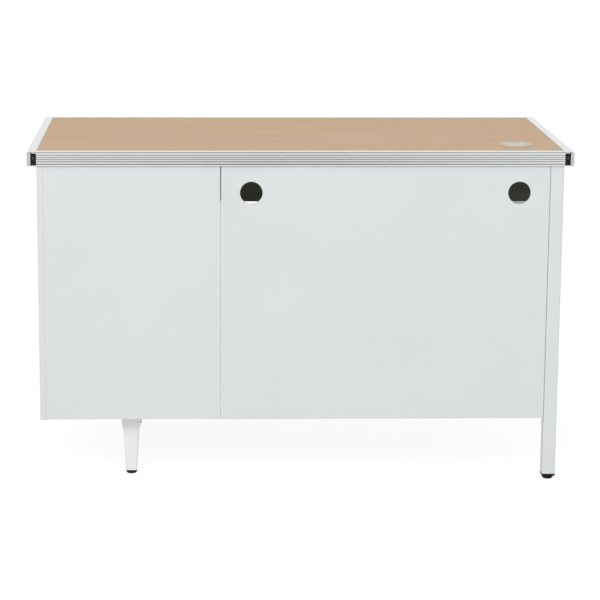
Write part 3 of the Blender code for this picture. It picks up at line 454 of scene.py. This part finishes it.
zinc_plate = drawn_metal(
    "zinc_plate",
    deep=screen_colour(172, 177, 182),
    pale=screen_colour(192, 196, 200),
    stretch=(900.0, 5.0, 900.0),
    dull=0.42,
    shiny=0.30,
)
for leg in ("rear_tapered_leg", "front_tapered_leg"):
    low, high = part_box(leg)
    inward = 1 if leg.startswith("rear") else -1
    end = high.y if inward > 0 else low.y
    bolts = []
    for step in (BOLT_FROM_END, BOLT_FROM_END + BOLT_PITCH):
        seat = ((low.x + high.x) / 2, end - inward * step, high.z - BRACKET_WALL)
        bolts.append(move(stud(BOLT_RADIUS, BOLT_HEIGHT, BOLT_SIDES, BOLT_EASE), seat, facing((0, 0, -1))))
    finish_piece(leg + "_bolts", gather(bolts), zinc_plate, "desk_frame", "zinc_steel")


# Modesty panel and knee rail
# One folded sheet closes the rear of the knee space, with two plunged cable holes near its top corners.
# A folded rail spans the front above the centre drawer.
PANEL_SHEET = 0.001
RETURN_SCREW_RADIUS = 0.0045
RETURN_SCREW_HEIGHT = 0.0024
RETURN_SCREWS = (0.12, 0.5, 0.85)
SCREW_SIDES = 24
SCREW_ROUND_SHARE = 0.6
CROSS_ARM_SHARE = 0.13
CROSS_REACH_SHARE = 0.50
CROSS_DEPTH_SHARE = 0.6
TOP_SHARE = 0.99
CUT_GAP = 1e-7
dress(white_coat, "modesty_panel", "knee_front_rail")


def cross_screw(radius, height):
    """A pan head with a cross recess, standing on Z = 0."""
    form = stud(radius, height, SCREW_SIDES, SCREW_ROUND_SHARE * height)
    arm = CROSS_ARM_SHARE * radius
    reach = CROSS_REACH_SHARE * radius
    for across in (Vector((1, 0, 0)), Vector((0, 1, 0))):
        for step in (-reach, -arm, arm, reach):
            whole = form.verts[:] + form.edges[:] + form.faces[:]
            bmesh.ops.bisect_plane(form, geom=whole, dist=CUT_GAP, plane_co=step * across, plane_no=across)
    recess = []
    for face in form.faces:
        x, y, z = face.calc_center_median()
        on_top = z > TOP_SHARE * height
        if on_top and min(abs(x), abs(y)) < arm and max(abs(x), abs(y)) < reach:
            recess.append(face)
    sunk = bmesh.ops.extrude_face_region(form, geom=recess)["geom"]
    bmesh.ops.translate(form, vec=(0, 0, -CROSS_DEPTH_SHARE * height), verts=new_verts(sunk))
    bmesh.ops.delete(form, geom=recess, context="FACES")
    return form


def screw_row(name, seats, direction, radius, height, body, metal=zinc_plate):
    """Screws at several seats, all facing one way, as one piece on a body."""
    screws = [move(cross_screw(radius, height), seat, facing(direction)) for seat in seats]
    return finish_piece(name, gather(screws), metal, body, "zinc_steel")


low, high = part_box("modesty_panel")
for word, face, way in (("left", low.x + PANEL_SHEET, 1), ("right", high.x - PANEL_SHEET, -1)):
    seats = [(face, (low.y + high.y) / 2, low.z + share * (high.z - low.z)) for share in RETURN_SCREWS]
    screw_row(f"modesty_panel_{word}_screws", seats, (way, 0, 0), RETURN_SCREW_RADIUS, RETURN_SCREW_HEIGHT,
              "desk_frame")


# Drawers
# Folded fronts in the white coat on trays in a charcoal coat, a painted shade for the dark inside of the
# desk, each with a bent bar handle screwed on from inside. The trays hang by their flanges on nylon rollers
# in zinc-plated channels; the centre drawer's channels take the same painted shade.
HANDLE_EDGE = 0.0045
HANDLE_BEND = 0.011
HANDLE_SIDES = 24
HANDLE_SCREW_RADIUS = 0.0042
HANDLE_SCREW_HEIGHT = 0.0024
RUNNER_SHEET = 0.0012
RUNNER_SCREW_RADIUS = 0.0030
RUNNER_SCREW_HEIGHT = 0.0010
RUNNER_SCREWS = (0.10, 0.45, 0.75)
ROLLER_BORE = 0.0028
ROLLER_ROUND = 0.0010
ROLLER_SIDES = 40
# A dark coat that stands in as painted shade inside the desk.
charcoal_shade_coat = painted_steel(
    "charcoal_shade_coat",
    deep=screen_colour(82, 84, 75),
    pale=screen_colour(88, 90, 81),
    edge=screen_colour(100, 102, 94),
)
handle_metal = drawn_metal(
    "handle_metal",
    deep=screen_colour(196, 198, 200),
    pale=screen_colour(214, 216, 218),
    stretch=(6.0, 1100.0, 1100.0),
    dull=0.34,
    shiny=0.24,
)
nylon = moulded_plastic(
    "nylon",
    deep=screen_colour(226, 224, 216),
    pale=screen_colour(234, 232, 225),
    dull=0.5,
    shiny=0.4,
    mirror=0.5,
)


def bar_handle(low, high):
    """A round bar bent at two corners, from a foot on the front to the other foot."""
    form = bmesh.new()
    half = (high.x - low.x) / 2 - HANDLE_EDGE
    reach = high.y - low.y - HANDLE_EDGE
    onto_wall = Matrix.Rotation(math.radians(-90), 4, "X")
    bmesh.ops.create_circle(form, cap_ends=False, segments=HANDLE_SIDES, radius=HANDLE_EDGE,
                            matrix=onto_wall)
    bmesh.ops.translate(form, vec=(-half, 0, 0), verts=form.verts)
    ring = list(form.edges)
    bmesh.ops.contextual_create(form, geom=ring)

    def carry(ring, step):
        grown = bmesh.ops.extrude_edge_only(form, edges=ring)["geom"]
        bmesh.ops.translate(form, vec=step, verts=new_verts(grown))
        return [item for item in new_edges(grown) if item.is_boundary]

    def bend(ring, centre):
        swept = bmesh.ops.spin(form, geom=ring, cent=centre, axis=(0, 0, 1), angle=math.radians(-90),
                               steps=10)
        return new_edges(swept["geom_last"])

    ring = carry(ring, (0, reach - HANDLE_BEND, 0))
    ring = bend(ring, (-half + HANDLE_BEND, reach - HANDLE_BEND, 0))
    ring = carry(ring, (2 * (half - HANDLE_BEND), 0, 0))
    ring = bend(ring, (half - HANDLE_BEND, reach - HANDLE_BEND, 0))
    ring = carry(ring, (0, HANDLE_BEND - reach, 0))
    bmesh.ops.contextual_create(form, geom=ring)
    return move(form, ((low.x + high.x) / 2, low.y, (low.z + high.z) / 2))


for word in ("top", "middle", "file", "centre"):
    drawer = word + "_drawer"
    dress(white_coat, drawer + "_front")
    dress(charcoal_shade_coat, drawer + "_tray")
    handle = drawer + "_handle"
    low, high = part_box(handle)
    finish_piece(handle + "_bar", bar_handle(low, high), handle_metal, drawer, "handle_metal", handle)
    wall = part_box(drawer + "_tray")[1].y - PANEL_SHEET
    seats = [(x, wall, (low.z + high.z) / 2) for x in (low.x + HANDLE_EDGE, high.x - HANDLE_EDGE)]
    screw_row(handle + "_screws", seats, (0, -1, 0), HANDLE_SCREW_RADIUS, HANDLE_SCREW_HEIGHT, drawer)
    for side, way in (("left", 1), ("right", -1)):
        runner = f"{drawer}_{side}_runner"
        # The centre drawer's runners take the dark coat as painted shade.
        dress(charcoal_shade_coat if word == "centre" else zinc_plate, runner)
        low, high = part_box(runner)
        web = low.x + RUNNER_SHEET if way > 0 else high.x - RUNNER_SHEET
        seats = [(web, low.y + share * (high.y - low.y), (low.z + high.z) / 2) for share in RUNNER_SCREWS]
        screw_row(runner + "_screws", seats, (way, 0, 0), RUNNER_SCREW_RADIUS, RUNNER_SCREW_HEIGHT,
                  "desk_frame")
        roller = f"{drawer}_{side}_roller"
        low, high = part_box(roller)
        edge = (high.z - low.z) / 2
        half = (high.x - low.x) / 2
        profile = [(ROLLER_BORE, -half)]
        profile += arc((edge - ROLLER_ROUND, ROLLER_ROUND - half), ROLLER_ROUND, -90, 0, steps=4)
        profile += arc((edge - ROLLER_ROUND, half - ROLLER_ROUND), ROLLER_ROUND, 0, 90, steps=4)
        profile += [(ROLLER_BORE, half), (ROLLER_BORE, -half)]
        across = Matrix.Rotation(math.radians(90), 4, "Y")
        form = move(turn_profile(profile, ROLLER_SIDES), (low + high) / 2, across)
        finish_piece(roller + "_wheel", form, nylon, f"{word}_{side}_roller", "nylon", roller)


# Gang lock
# A nickel-plated cylinder in the pedestal's top rail, whose crank lifts a zinc-plated bar with three hooks.
# The bar runs inside the pedestal wall and catches a lug on each drawer.
nickel_plate = drawn_metal(
    "nickel_plate",
    deep=screen_colour(198, 195, 188),
    pale=screen_colour(216, 213, 206),
    stretch=(700.0, 700.0, 700.0),
    dull=0.26,
    shiny=0.18,
)
dress(nickel_plate, "lock_cylinder")
dress(zinc_plate, "lock_bar")


# Worktop
# A chipboard core faced with a matt wood-grain laminate, drilled near the rear right corner for cables.
# The grain is printed and runs along the width.
FIGURE_STRETCH = (2.2, 42.0, 1.0)
PORE_STRETCH = (14.0, 800.0, 1.0)
PORE_LOW = 0.58
PORE_HIGH = 0.76
PORE_SHARE = 0.45
PORE_STRENGTH = 0.05
PORE_DEPTH = 0.0001
WOOD_DEEP = screen_colour(209, 177, 144)
WOOD_PALE = screen_colour(219, 190, 157)
PORE_TONE = screen_colour(188, 155, 121)
LAMINATE_SHINY = 0.56
LAMINATE_DULL = 0.66
LAMINATE_MIRROR = 0.12
CHIP_SCALE = 320.0
CHIP_STRENGTH = 0.3
CHIP_DEPTH = 0.0003
CHIP_DEEP = screen_colour(158, 128, 92)
CHIP_PALE = screen_colour(192, 164, 126)
CHIP_DULL = 0.85

laminate, tree, shader = start_material("wood_laminate")
place = own_place(tree)
figure = add_node(tree, "TexNoise", {
    "Vector": stretch_place(tree, place, FIGURE_STRETCH),
    "Scale": 1.0,
    "Detail": 6.0,
    "Roughness": 0.6,
    "Distortion": 0.6,
}).outputs["Fac"]
pores = noise(tree, stretch_place(tree, place, PORE_STRETCH), 1.0, detail=2.0)
wood = blend(tree, spread(tree, figure, NOISE_LOW, NOISE_HIGH), WOOD_DEEP, WOOD_PALE)
wood = blend(tree, spread(tree, pores, PORE_LOW, PORE_HIGH, 0.0, PORE_SHARE), wood, PORE_TONE)
gloss = spread(tree, pores, NOISE_LOW, NOISE_HIGH, LAMINATE_SHINY, LAMINATE_DULL)
normal = relief(tree, pores, PORE_STRENGTH, PORE_DEPTH)
join_sockets(tree, shader, Base_Color=wood, Roughness=gloss, Normal=normal)
shader.inputs["Specular IOR Level"].default_value = LAMINATE_MIRROR
dress(laminate, "worktop_laminate")

chipboard, tree, shader = start_material("chipboard")
chips = add_node(tree, "TexVoronoi", {"Vector": own_place(tree), "Scale": CHIP_SCALE, "Randomness": 1.0})
shade = add_node(tree, "SeparateColor", {"Color": chips.outputs["Color"]}).outputs["Red"]
core = blend(tree, shade, CHIP_DEEP, CHIP_PALE)
join_sockets(tree, shader, Base_Color=core, Normal=relief(tree, shade, CHIP_STRENGTH, CHIP_DEPTH))
shader.inputs["Roughness"].default_value = CHIP_DULL
dress(chipboard, "worktop_board")


# Edge trim
# Fluted aluminium extrusion, satin anodised, with a tongue pressed into the board's edge on four sides.
# The side lengths run past the front and rear ones, so their sawn ends show. Painted shade darkens the
# flutes, which also hold some dirt, and the face, the band above the last flute and the sawn ends, with a
# painted shadow along the board.
TRIM_WIDTH = 0.020
TRIM_NOSE = 0.008
TRIM_HOLLOW = TRIM_WIDTH - TRIM_NOSE
TRIM_TOP_LIP = 0.0036
TRIM_BOTTOM_LIP = 0.0022
TRIM_TOP_ROUND = 0.0030
TRIM_BOTTOM_ROUND = 0.0030
CORNER_SLOT = 0.0020
CORNER_SLOT_DROP = 0.0010
FLUTE_HALF = 0.0010
FLUTE_DEPTH = 0.0018
FLUTE_DROPS = (0.0018, 0.0075, 0.0120, 0.0165, 0.0210, 0.0275)
# Marks of painted shade: the flutes, with some dirt there, the face, the band above the last flute, the
# sawn ends, and a painted shadow along the board.
FLUTE_SHADE_AND_DIRT = (1.1, 0.25, 0.25, 0.40, 0.30, 1.0)
FACE_SHADE = 0.10
BAND_SHADE = 0.30
END_SHADE = 1.13
BOARD_SHADOW = 1.0
FRONT_BOARD_SHADOW = 2.0
FULL_SHADE_MARK = 0.5
DEEP_SHADE_START = 1.0
FULL_DEEP_SHADE = 2.0
FADE_START = 0.15
FADED_SHARE = 0.45
# Tones of the painted shade and dirt; the second is the deepest painted shade and the painted shadow along
# the board.
SHADE_AND_DIRT_TONE = screen_colour(176, 178, 177)
DEEP_SHADE_TONE = screen_colour(96, 84, 72)


def anodised_aluminium(name, stretch):
    """Satin aluminium, with its lines along the extrusion."""
    deep = screen_colour(222, 224, 223)
    pale = screen_colour(229, 231, 230)
    return drawn_metal(name, deep, pale, stretch, dull=0.40, shiny=0.32)


def paint_shade_and_dirt(material, along):
    """Painted shade, with some dirt in the flutes, where the trim is marked for it, fading from the middle
    to the ends of a length.
    """
    tree = material.node_tree
    shader = tree.nodes["Principled BSDF"]
    clean = shader.inputs["Base Color"].links[0].from_socket
    marked = add_node(tree, "Attribute", {}, attribute_name="shade_and_dirt").outputs["Fac"]
    sockets = {"Vector": own_place(tree), "Vector_001": along}
    reach = add_node(tree, "VectorMath", sockets, operation="DOT_PRODUCT").outputs["Value"]
    from_middle = add_node(tree, "Math", {"Value": reach}, operation="ABSOLUTE").outputs["Value"]
    faded = spread(tree, from_middle, FADE_START, 1.0, 1.0, FADED_SHARE)
    sockets = {"Value": spread(tree, marked, 0.0, FULL_SHADE_MARK), "Value_001": faded}
    shade_share = add_node(tree, "Math", sockets, operation="MULTIPLY").outputs["Value"]
    shaded = blend(tree, shade_share, clean, SHADE_AND_DIRT_TONE)
    shaded = blend(tree, spread(tree, marked, DEEP_SHADE_START, FULL_DEEP_SHADE), shaded, DEEP_SHADE_TONE)
    join_sockets(tree, shader, Base_Color=shaded)


half_desk = cad_box[1]
aluminium_across = anodised_aluminium("aluminium_across", (0.8, 1500.0, 1500.0))
aluminium_deep = anodised_aluminium("aluminium_deep", (1500.0, 0.8, 1500.0))
paint_shade_and_dirt(aluminium_across, (1 / half_desk.x, 0, 0))
paint_shade_and_dirt(aluminium_deep, (0, 1 / half_desk.y, 0))


def trim_section(height):
    """Section of the extrusion as (outward, up) points from the board's edge at the trim's top.

    The first flute is cut into the round of the top edge, and a slot runs along the hollow's upper corner.
    """
    bottom_centre = (TRIM_WIDTH - TRIM_BOTTOM_ROUND, TRIM_BOTTOM_ROUND - height)
    top_centre = (TRIM_WIDTH - TRIM_TOP_ROUND, -TRIM_TOP_ROUND)
    points = [(0, -height)]
    points += arc(bottom_centre, TRIM_BOTTOM_ROUND, -90, 0, steps=6)
    for drop in reversed(FLUTE_DROPS):
        points.append((TRIM_WIDTH, -drop - FLUTE_HALF))
        points.append((TRIM_WIDTH - FLUTE_DEPTH, -drop))
        points.append((TRIM_WIDTH, -drop + FLUTE_HALF))
    points.pop()
    rim = math.degrees(math.asin(1 - (FLUTE_DROPS[0] - FLUTE_HALF) / TRIM_TOP_ROUND))
    points += arc(top_centre, TRIM_TOP_ROUND, rim, 90, steps=5)
    points += [(0, 0), (0, -TRIM_TOP_LIP)]
    points += [(TRIM_HOLLOW - CORNER_SLOT, -TRIM_TOP_LIP), (TRIM_HOLLOW - CORNER_SLOT, -CORNER_SLOT_DROP)]
    points += [(TRIM_HOLLOW, -CORNER_SLOT_DROP), (TRIM_HOLLOW, TRIM_BOTTOM_LIP - height)]
    points.append((0, TRIM_BOTTOM_LIP - height))
    return points


def trim_length(length, height, board_shadow):
    """One length of the extrusion along X, its face towards +Y.

    Painted shade lies in the flutes with some dirt, on the sawn ends, on the band above the last flute and
    a little on the face, and a painted shadow runs along the edge of the board.
    """
    form = bmesh.new()
    end = form.faces.new([form.verts.new((-length / 2, out, up)) for out, up in trim_section(height)])
    grown = bmesh.ops.extrude_face_region(form, geom=[end])["geom"]
    bmesh.ops.translate(form, vec=(length, 0, 0), verts=new_verts(grown))
    # Each corner is marked with how much painted shade it takes, with dirt as well in the flutes.
    shade_and_dirt = form.loops.layers.float.new("shade_and_dirt")
    for face in form.faces:
        sawn = len(face.verts) > 4
        at_board = face.calc_center_median().y < SAME_PLACE
        for loop in face.loops:
            out = loop.vert.co.y
            if sawn:
                loop[shade_and_dirt] = END_SHADE
            elif at_board:
                loop[shade_and_dirt] = board_shadow
            elif math.isclose(out, TRIM_WIDTH - FLUTE_DEPTH, abs_tol=SAME_PLACE):
                drop = min(FLUTE_DROPS, key=lambda place: abs(place + loop.vert.co.z))
                loop[shade_and_dirt] = FLUTE_SHADE_AND_DIRT[FLUTE_DROPS.index(drop)]
            elif math.isclose(out, TRIM_WIDTH, abs_tol=SAME_PLACE):
                on_band = FLUTE_DROPS[-2] < -loop.vert.co.z < FLUTE_DROPS[-1]
                loop[shade_and_dirt] = BAND_SHADE if on_band else FACE_SHADE
    return form


for word, turned, metal in (("front", 0, aluminium_across), ("left", 90, aluminium_deep),
                            ("rear", 180, aluminium_across), ("right", 270, aluminium_deep)):
    low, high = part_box(word + "_edge_trim")
    long_side = 0 if turned % 180 == 0 else 1
    deep_side = 1 - long_side
    outward = 1 if word in ("front", "right") else -1
    face = high[deep_side] if outward > 0 else low[deep_side]
    location = [(low.x + high.x) / 2, (low.y + high.y) / 2, high.z]
    location[deep_side] = face - outward * TRIM_WIDTH
    board_shadow = FRONT_BOARD_SHADOW if word == "front" else BOARD_SHADOW
    form = trim_length(high[long_side] - low[long_side], high.z - low.z, board_shadow)
    move(form, location, Matrix.Rotation(math.radians(turned), 4, "Z"))
    finish_piece(word + "_trim_extrusion", form, metal, "desk_frame", "aluminium", word + "_edge_trim")


# End caps
# A plug of the black polymer closes the hollow in each end of the side trims, with an ear in the slot of
# the hollow's upper corner. A small blackened screw holds it, on a low boss.
CAP_PLAY = 0.0003
CAP_ROUND = 0.0005
CAP_BOSS_RADIUS = 0.0030
CAP_BOSS_HEIGHT = 0.0007
CAP_BOSS_ROUND = 0.0004
CAP_BOSS_SIDES = 32
CAP_SCREW_RADIUS = 0.0023
CAP_SCREW_HEIGHT = 0.0011
CAP_SCREW_SINK = 0.0008
CAP_SCREW_DROP = 0.0140
blackened_steel = drawn_metal(
    "blackened_steel",
    deep=screen_colour(92, 93, 95),
    pale=screen_colour(112, 113, 115),
    stretch=(700.0, 700.0, 700.0),
    dull=0.44,
    shiny=0.34,
)


def end_cap(length, height):
    """Plug for one trim end, face up, as (outward, down) from the board's edge at the trim's top."""
    near = CAP_PLAY
    far = TRIM_HOLLOW - CAP_PLAY
    top = TRIM_TOP_LIP + CAP_PLAY
    ear = far - CORNER_SLOT + 2 * CAP_PLAY
    ear_top = CORNER_SLOT_DROP + CAP_PLAY
    foot = height - TRIM_BOTTOM_LIP - CAP_PLAY
    outline = [(near, top), (ear, top), (ear, ear_top), (far, ear_top), (far, foot), (near, foot)]
    plug = plate(outline, -length, 0, CAP_ROUND)
    boss = stud(CAP_BOSS_RADIUS, CAP_BOSS_HEIGHT, CAP_BOSS_SIDES, CAP_BOSS_ROUND)
    return gather([plug, move(boss, (TRIM_HOLLOW / 2, CAP_SCREW_DROP, 0))])


for end, way in (("rear", -1), ("front", 1)):
    for side, outward in (("left", -1), ("right", 1)):
        cap = f"{end}_{side}_end_cap"
        low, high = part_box(cap)
        trim_low, trim_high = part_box(side + "_edge_trim")
        board_edge = trim_high.x - TRIM_WIDTH if outward > 0 else trim_low.x + TRIM_WIDTH
        tip = low.y if way < 0 else high.y
        face = tip - way * CAP_BOSS_HEIGHT
        stand = Matrix(((outward, 0, 0, 0), (0, 0, way, 0), (0, -1, 0, 0), (0, 0, 0, 1)))
        form = end_cap(high.y - low.y - CAP_BOSS_HEIGHT, trim_high.z - trim_low.z)
        move(form, (board_edge, face, trim_high.z), stand)
        finish_piece(cap + "_plug", form, black_polymer, "desk_frame", "black_plastic", cap)
        middle = board_edge + outward * TRIM_HOLLOW / 2
        seat = (middle, tip - way * CAP_SCREW_SINK, trim_high.z - CAP_SCREW_DROP)
        screw_row(cap + "_screw", [seat], (0, way, 0), CAP_SCREW_RADIUS, CAP_SCREW_HEIGHT, "desk_frame",
                  blackened_steel)


# Cable grommet
# A flanged liner of beige polymer, pressed into the drilled hole, with a shutter that turns in its flange.
# The shutter's slot lets cables through when it is turned away from the liner's web.
FLANGE_HEIGHT = 0.0022
FLANGE_ROUND = 0.0013
SEAT_EDGE = 0.03075
SEAT_DEPTH = 0.0013
BORE_EDGE = 0.0275
SLEEVE_EDGE = 0.0297
LINER_SIDES = 96
WEB_THICKNESS = 0.002
HUB_EDGE = 0.007
SHUTTER_EDGE = 0.03045
SHUTTER_THICKNESS = 0.0015
SHUTTER_ROUND = 0.0004
PIVOT_EDGE = 0.003
PIVOT_SIDES = 24
SLOT_HALF = 0.010
SLOT_INNER = 0.012
PART_GAP = 0.0003
beige_polymer = moulded_plastic(
    "beige_polymer",
    deep=screen_colour(209, 204, 193),
    pale=screen_colour(214, 209, 198),
    dull=0.5,
    shiny=0.4,
    mirror=0.5,
)

low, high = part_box("grommet_liner")
edge = (high.x - low.x) / 2
centre = ((low.x + high.x) / 2, (low.y + high.y) / 2, 0)
seat = high.z - SEAT_DEPTH
collar = high.z - FLANGE_HEIGHT
profile = [(BORE_EDGE, low.z), (SLEEVE_EDGE, low.z), (SLEEVE_EDGE, collar), (edge, collar)]
profile += arc((edge - FLANGE_ROUND, high.z - FLANGE_ROUND), FLANGE_ROUND, 0, 90, steps=6)
profile += [(SEAT_EDGE, high.z), (SEAT_EDGE, seat), (BORE_EDGE, seat), (BORE_EDGE, low.z)]
outline = arc((0, 0), (BORE_EDGE + SLEEVE_EDGE) / 2, 0, 180, steps=48)
outline += arc((0, 0), HUB_EDGE, 180, 360, steps=24)
web = plate(outline, seat - PART_GAP - WEB_THICKNESS, seat - PART_GAP)
liner = move(gather([turn_profile(profile, LINER_SIDES), web]), centre)
finish_piece("grommet_flanged_liner", liner, beige_polymer, "desk_frame", "beige_plastic", "grommet_liner")

low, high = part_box("grommet_shutter")
under = high.z - SHUTTER_THICKNESS
mouth = math.degrees(math.acos(SLOT_HALF / SHUTTER_EDGE))
outline = arc((0, 0), SHUTTER_EDGE, 180 - mouth, 360 + mouth, steps=96)
outline += arc((0, SLOT_INNER + SLOT_HALF), SLOT_HALF, 360, 180, steps=24)
cover = plate(outline, under, high.z, SHUTTER_ROUND)
pivot = turn_profile([(0, low.z), (PIVOT_EDGE, low.z), (PIVOT_EDGE, under), (0, under)], PIVOT_SIDES)
shutter = move(gather([cover, pivot]), centre)
finish_piece("grommet_turning_cover", shutter, beige_polymer, "grommet_shutter", "beige_plastic",
             "grommet_shutter")


# Studio
# A pale floor that keeps a faint shadow, even light from all round, and one large soft lamp that leaves no
# mirror image. The camera stands where the photograph was taken from, left of the middle and above the top.
AMBIENT = 0.61
WHITE = (1, 1, 1, 1)
FLOOR_SIDE = 30.0
FLOOR_BOUNCE = (0.9, 0.9, 0.9, 1)
FLOOR_SHADOWED = (0.25, 0.25, 0.25, 1)
FLOOR_GLOW = 0.85
LAMP_WIDTH = 10.0
LAMP_DEPTH = 2.6
LAMP_POWER = 218.0
LAMP_PLACE = Vector((-1.33, -5.75, 4.2))
LAMP_AIM = Vector((0, 0, 0.4))
CAMERA_PLACE = (-0.2307, -4.9913, 1.4320)
CAMERA_DIP = 11.226
CAMERA_SWING = 1.822
CAMERA_ROLL = 0.261
CAMERA_LENS = 130.07
CAMERA_SHIFT = (0.06, -0.06)
CAMERA_REACH = 100.0
scene = bpy.context.scene
scene.view_settings.view_transform = "Standard"


def shown_or_bounced(tree, bounced, shown):
    """One shader for light that bounces, and another for rays from the camera, mirrors and glass."""
    path = add_node(tree, "LightPath", {}).outputs
    seen = path["Is Camera Ray"]
    for other in ("Is Glossy Ray", "Is Transmission Ray"):
        sockets = {"Value": seen, "Value_001": path[other]}
        seen = add_node(tree, "Math", sockets, operation="MAXIMUM").outputs["Value"]
    return add_node(tree, "MixShader", {"Fac": seen, "Shader": bounced, "Shader_001": shown}).outputs[0]


world = bpy.data.worlds.new("studio_surround")
world.use_nodes = True
scene.world = world
tree = world.node_tree
tree.nodes.clear()
light = add_node(tree, "Background", {"Color": WHITE, "Strength": AMBIENT}).outputs[0]
backdrop = add_node(tree, "Background", {"Color": WHITE, "Strength": 1.0}).outputs[0]
add_node(tree, "OutputWorld", {"Surface": shown_or_bounced(tree, light, backdrop)})

form = bmesh.new()
bmesh.ops.create_grid(form, x_segments=1, y_segments=1, size=FLOOR_SIDE / 2)
mesh = bpy.data.meshes.new("floor")
form.to_mesh(mesh)
form.free()
floor = bpy.data.objects.new("floor", mesh)
scene.collection.objects.link(floor)
floor_paint = bpy.data.materials.new("floor_paint")
floor_paint.use_nodes = True
tree = floor_paint.node_tree
tree.nodes.clear()
bounce = add_node(tree, "BsdfDiffuse", {"Color": FLOOR_BOUNCE}).outputs[0]
shadowed = add_node(tree, "BsdfDiffuse", {"Color": FLOOR_SHADOWED}).outputs[0]
glow = add_node(tree, "Emission", {"Color": WHITE, "Strength": FLOOR_GLOW}).outputs[0]
pale = add_node(tree, "AddShader", {"Shader": shadowed, "Shader_001": glow}).outputs[0]
add_node(tree, "OutputMaterial", {"Surface": shown_or_bounced(tree, bounce, pale)})
mesh.materials.append(floor_paint)

lamp = bpy.data.lights.new("soft_lamp", "AREA")
lamp.shape = "RECTANGLE"
lamp.size = LAMP_WIDTH
lamp.size_y = LAMP_DEPTH
lamp.energy = LAMP_POWER
lamp_stand = bpy.data.objects.new("soft_lamp", lamp)
lamp_stand.location = LAMP_PLACE
lamp_stand.rotation_euler = (LAMP_AIM - LAMP_PLACE).to_track_quat("-Z", "Y").to_euler()
lamp_stand.visible_glossy = False
scene.collection.objects.link(lamp_stand)

camera = bpy.data.cameras.new("camera")
camera.lens = CAMERA_LENS
camera.shift_x, camera.shift_y = CAMERA_SHIFT
camera.clip_end = CAMERA_REACH
viewer = bpy.data.objects.new("camera", camera)
viewer.location = CAMERA_PLACE
swing = Matrix.Rotation(math.radians(-CAMERA_SWING), 4, "Z")
dip = Matrix.Rotation(math.radians(90 - CAMERA_DIP), 4, "X")
roll = Matrix.Rotation(math.radians(CAMERA_ROLL), 4, "Z")
viewer.rotation_euler = (swing @ dip @ roll).to_euler()
scene.collection.objects.link(viewer)
scene.camera = viewer
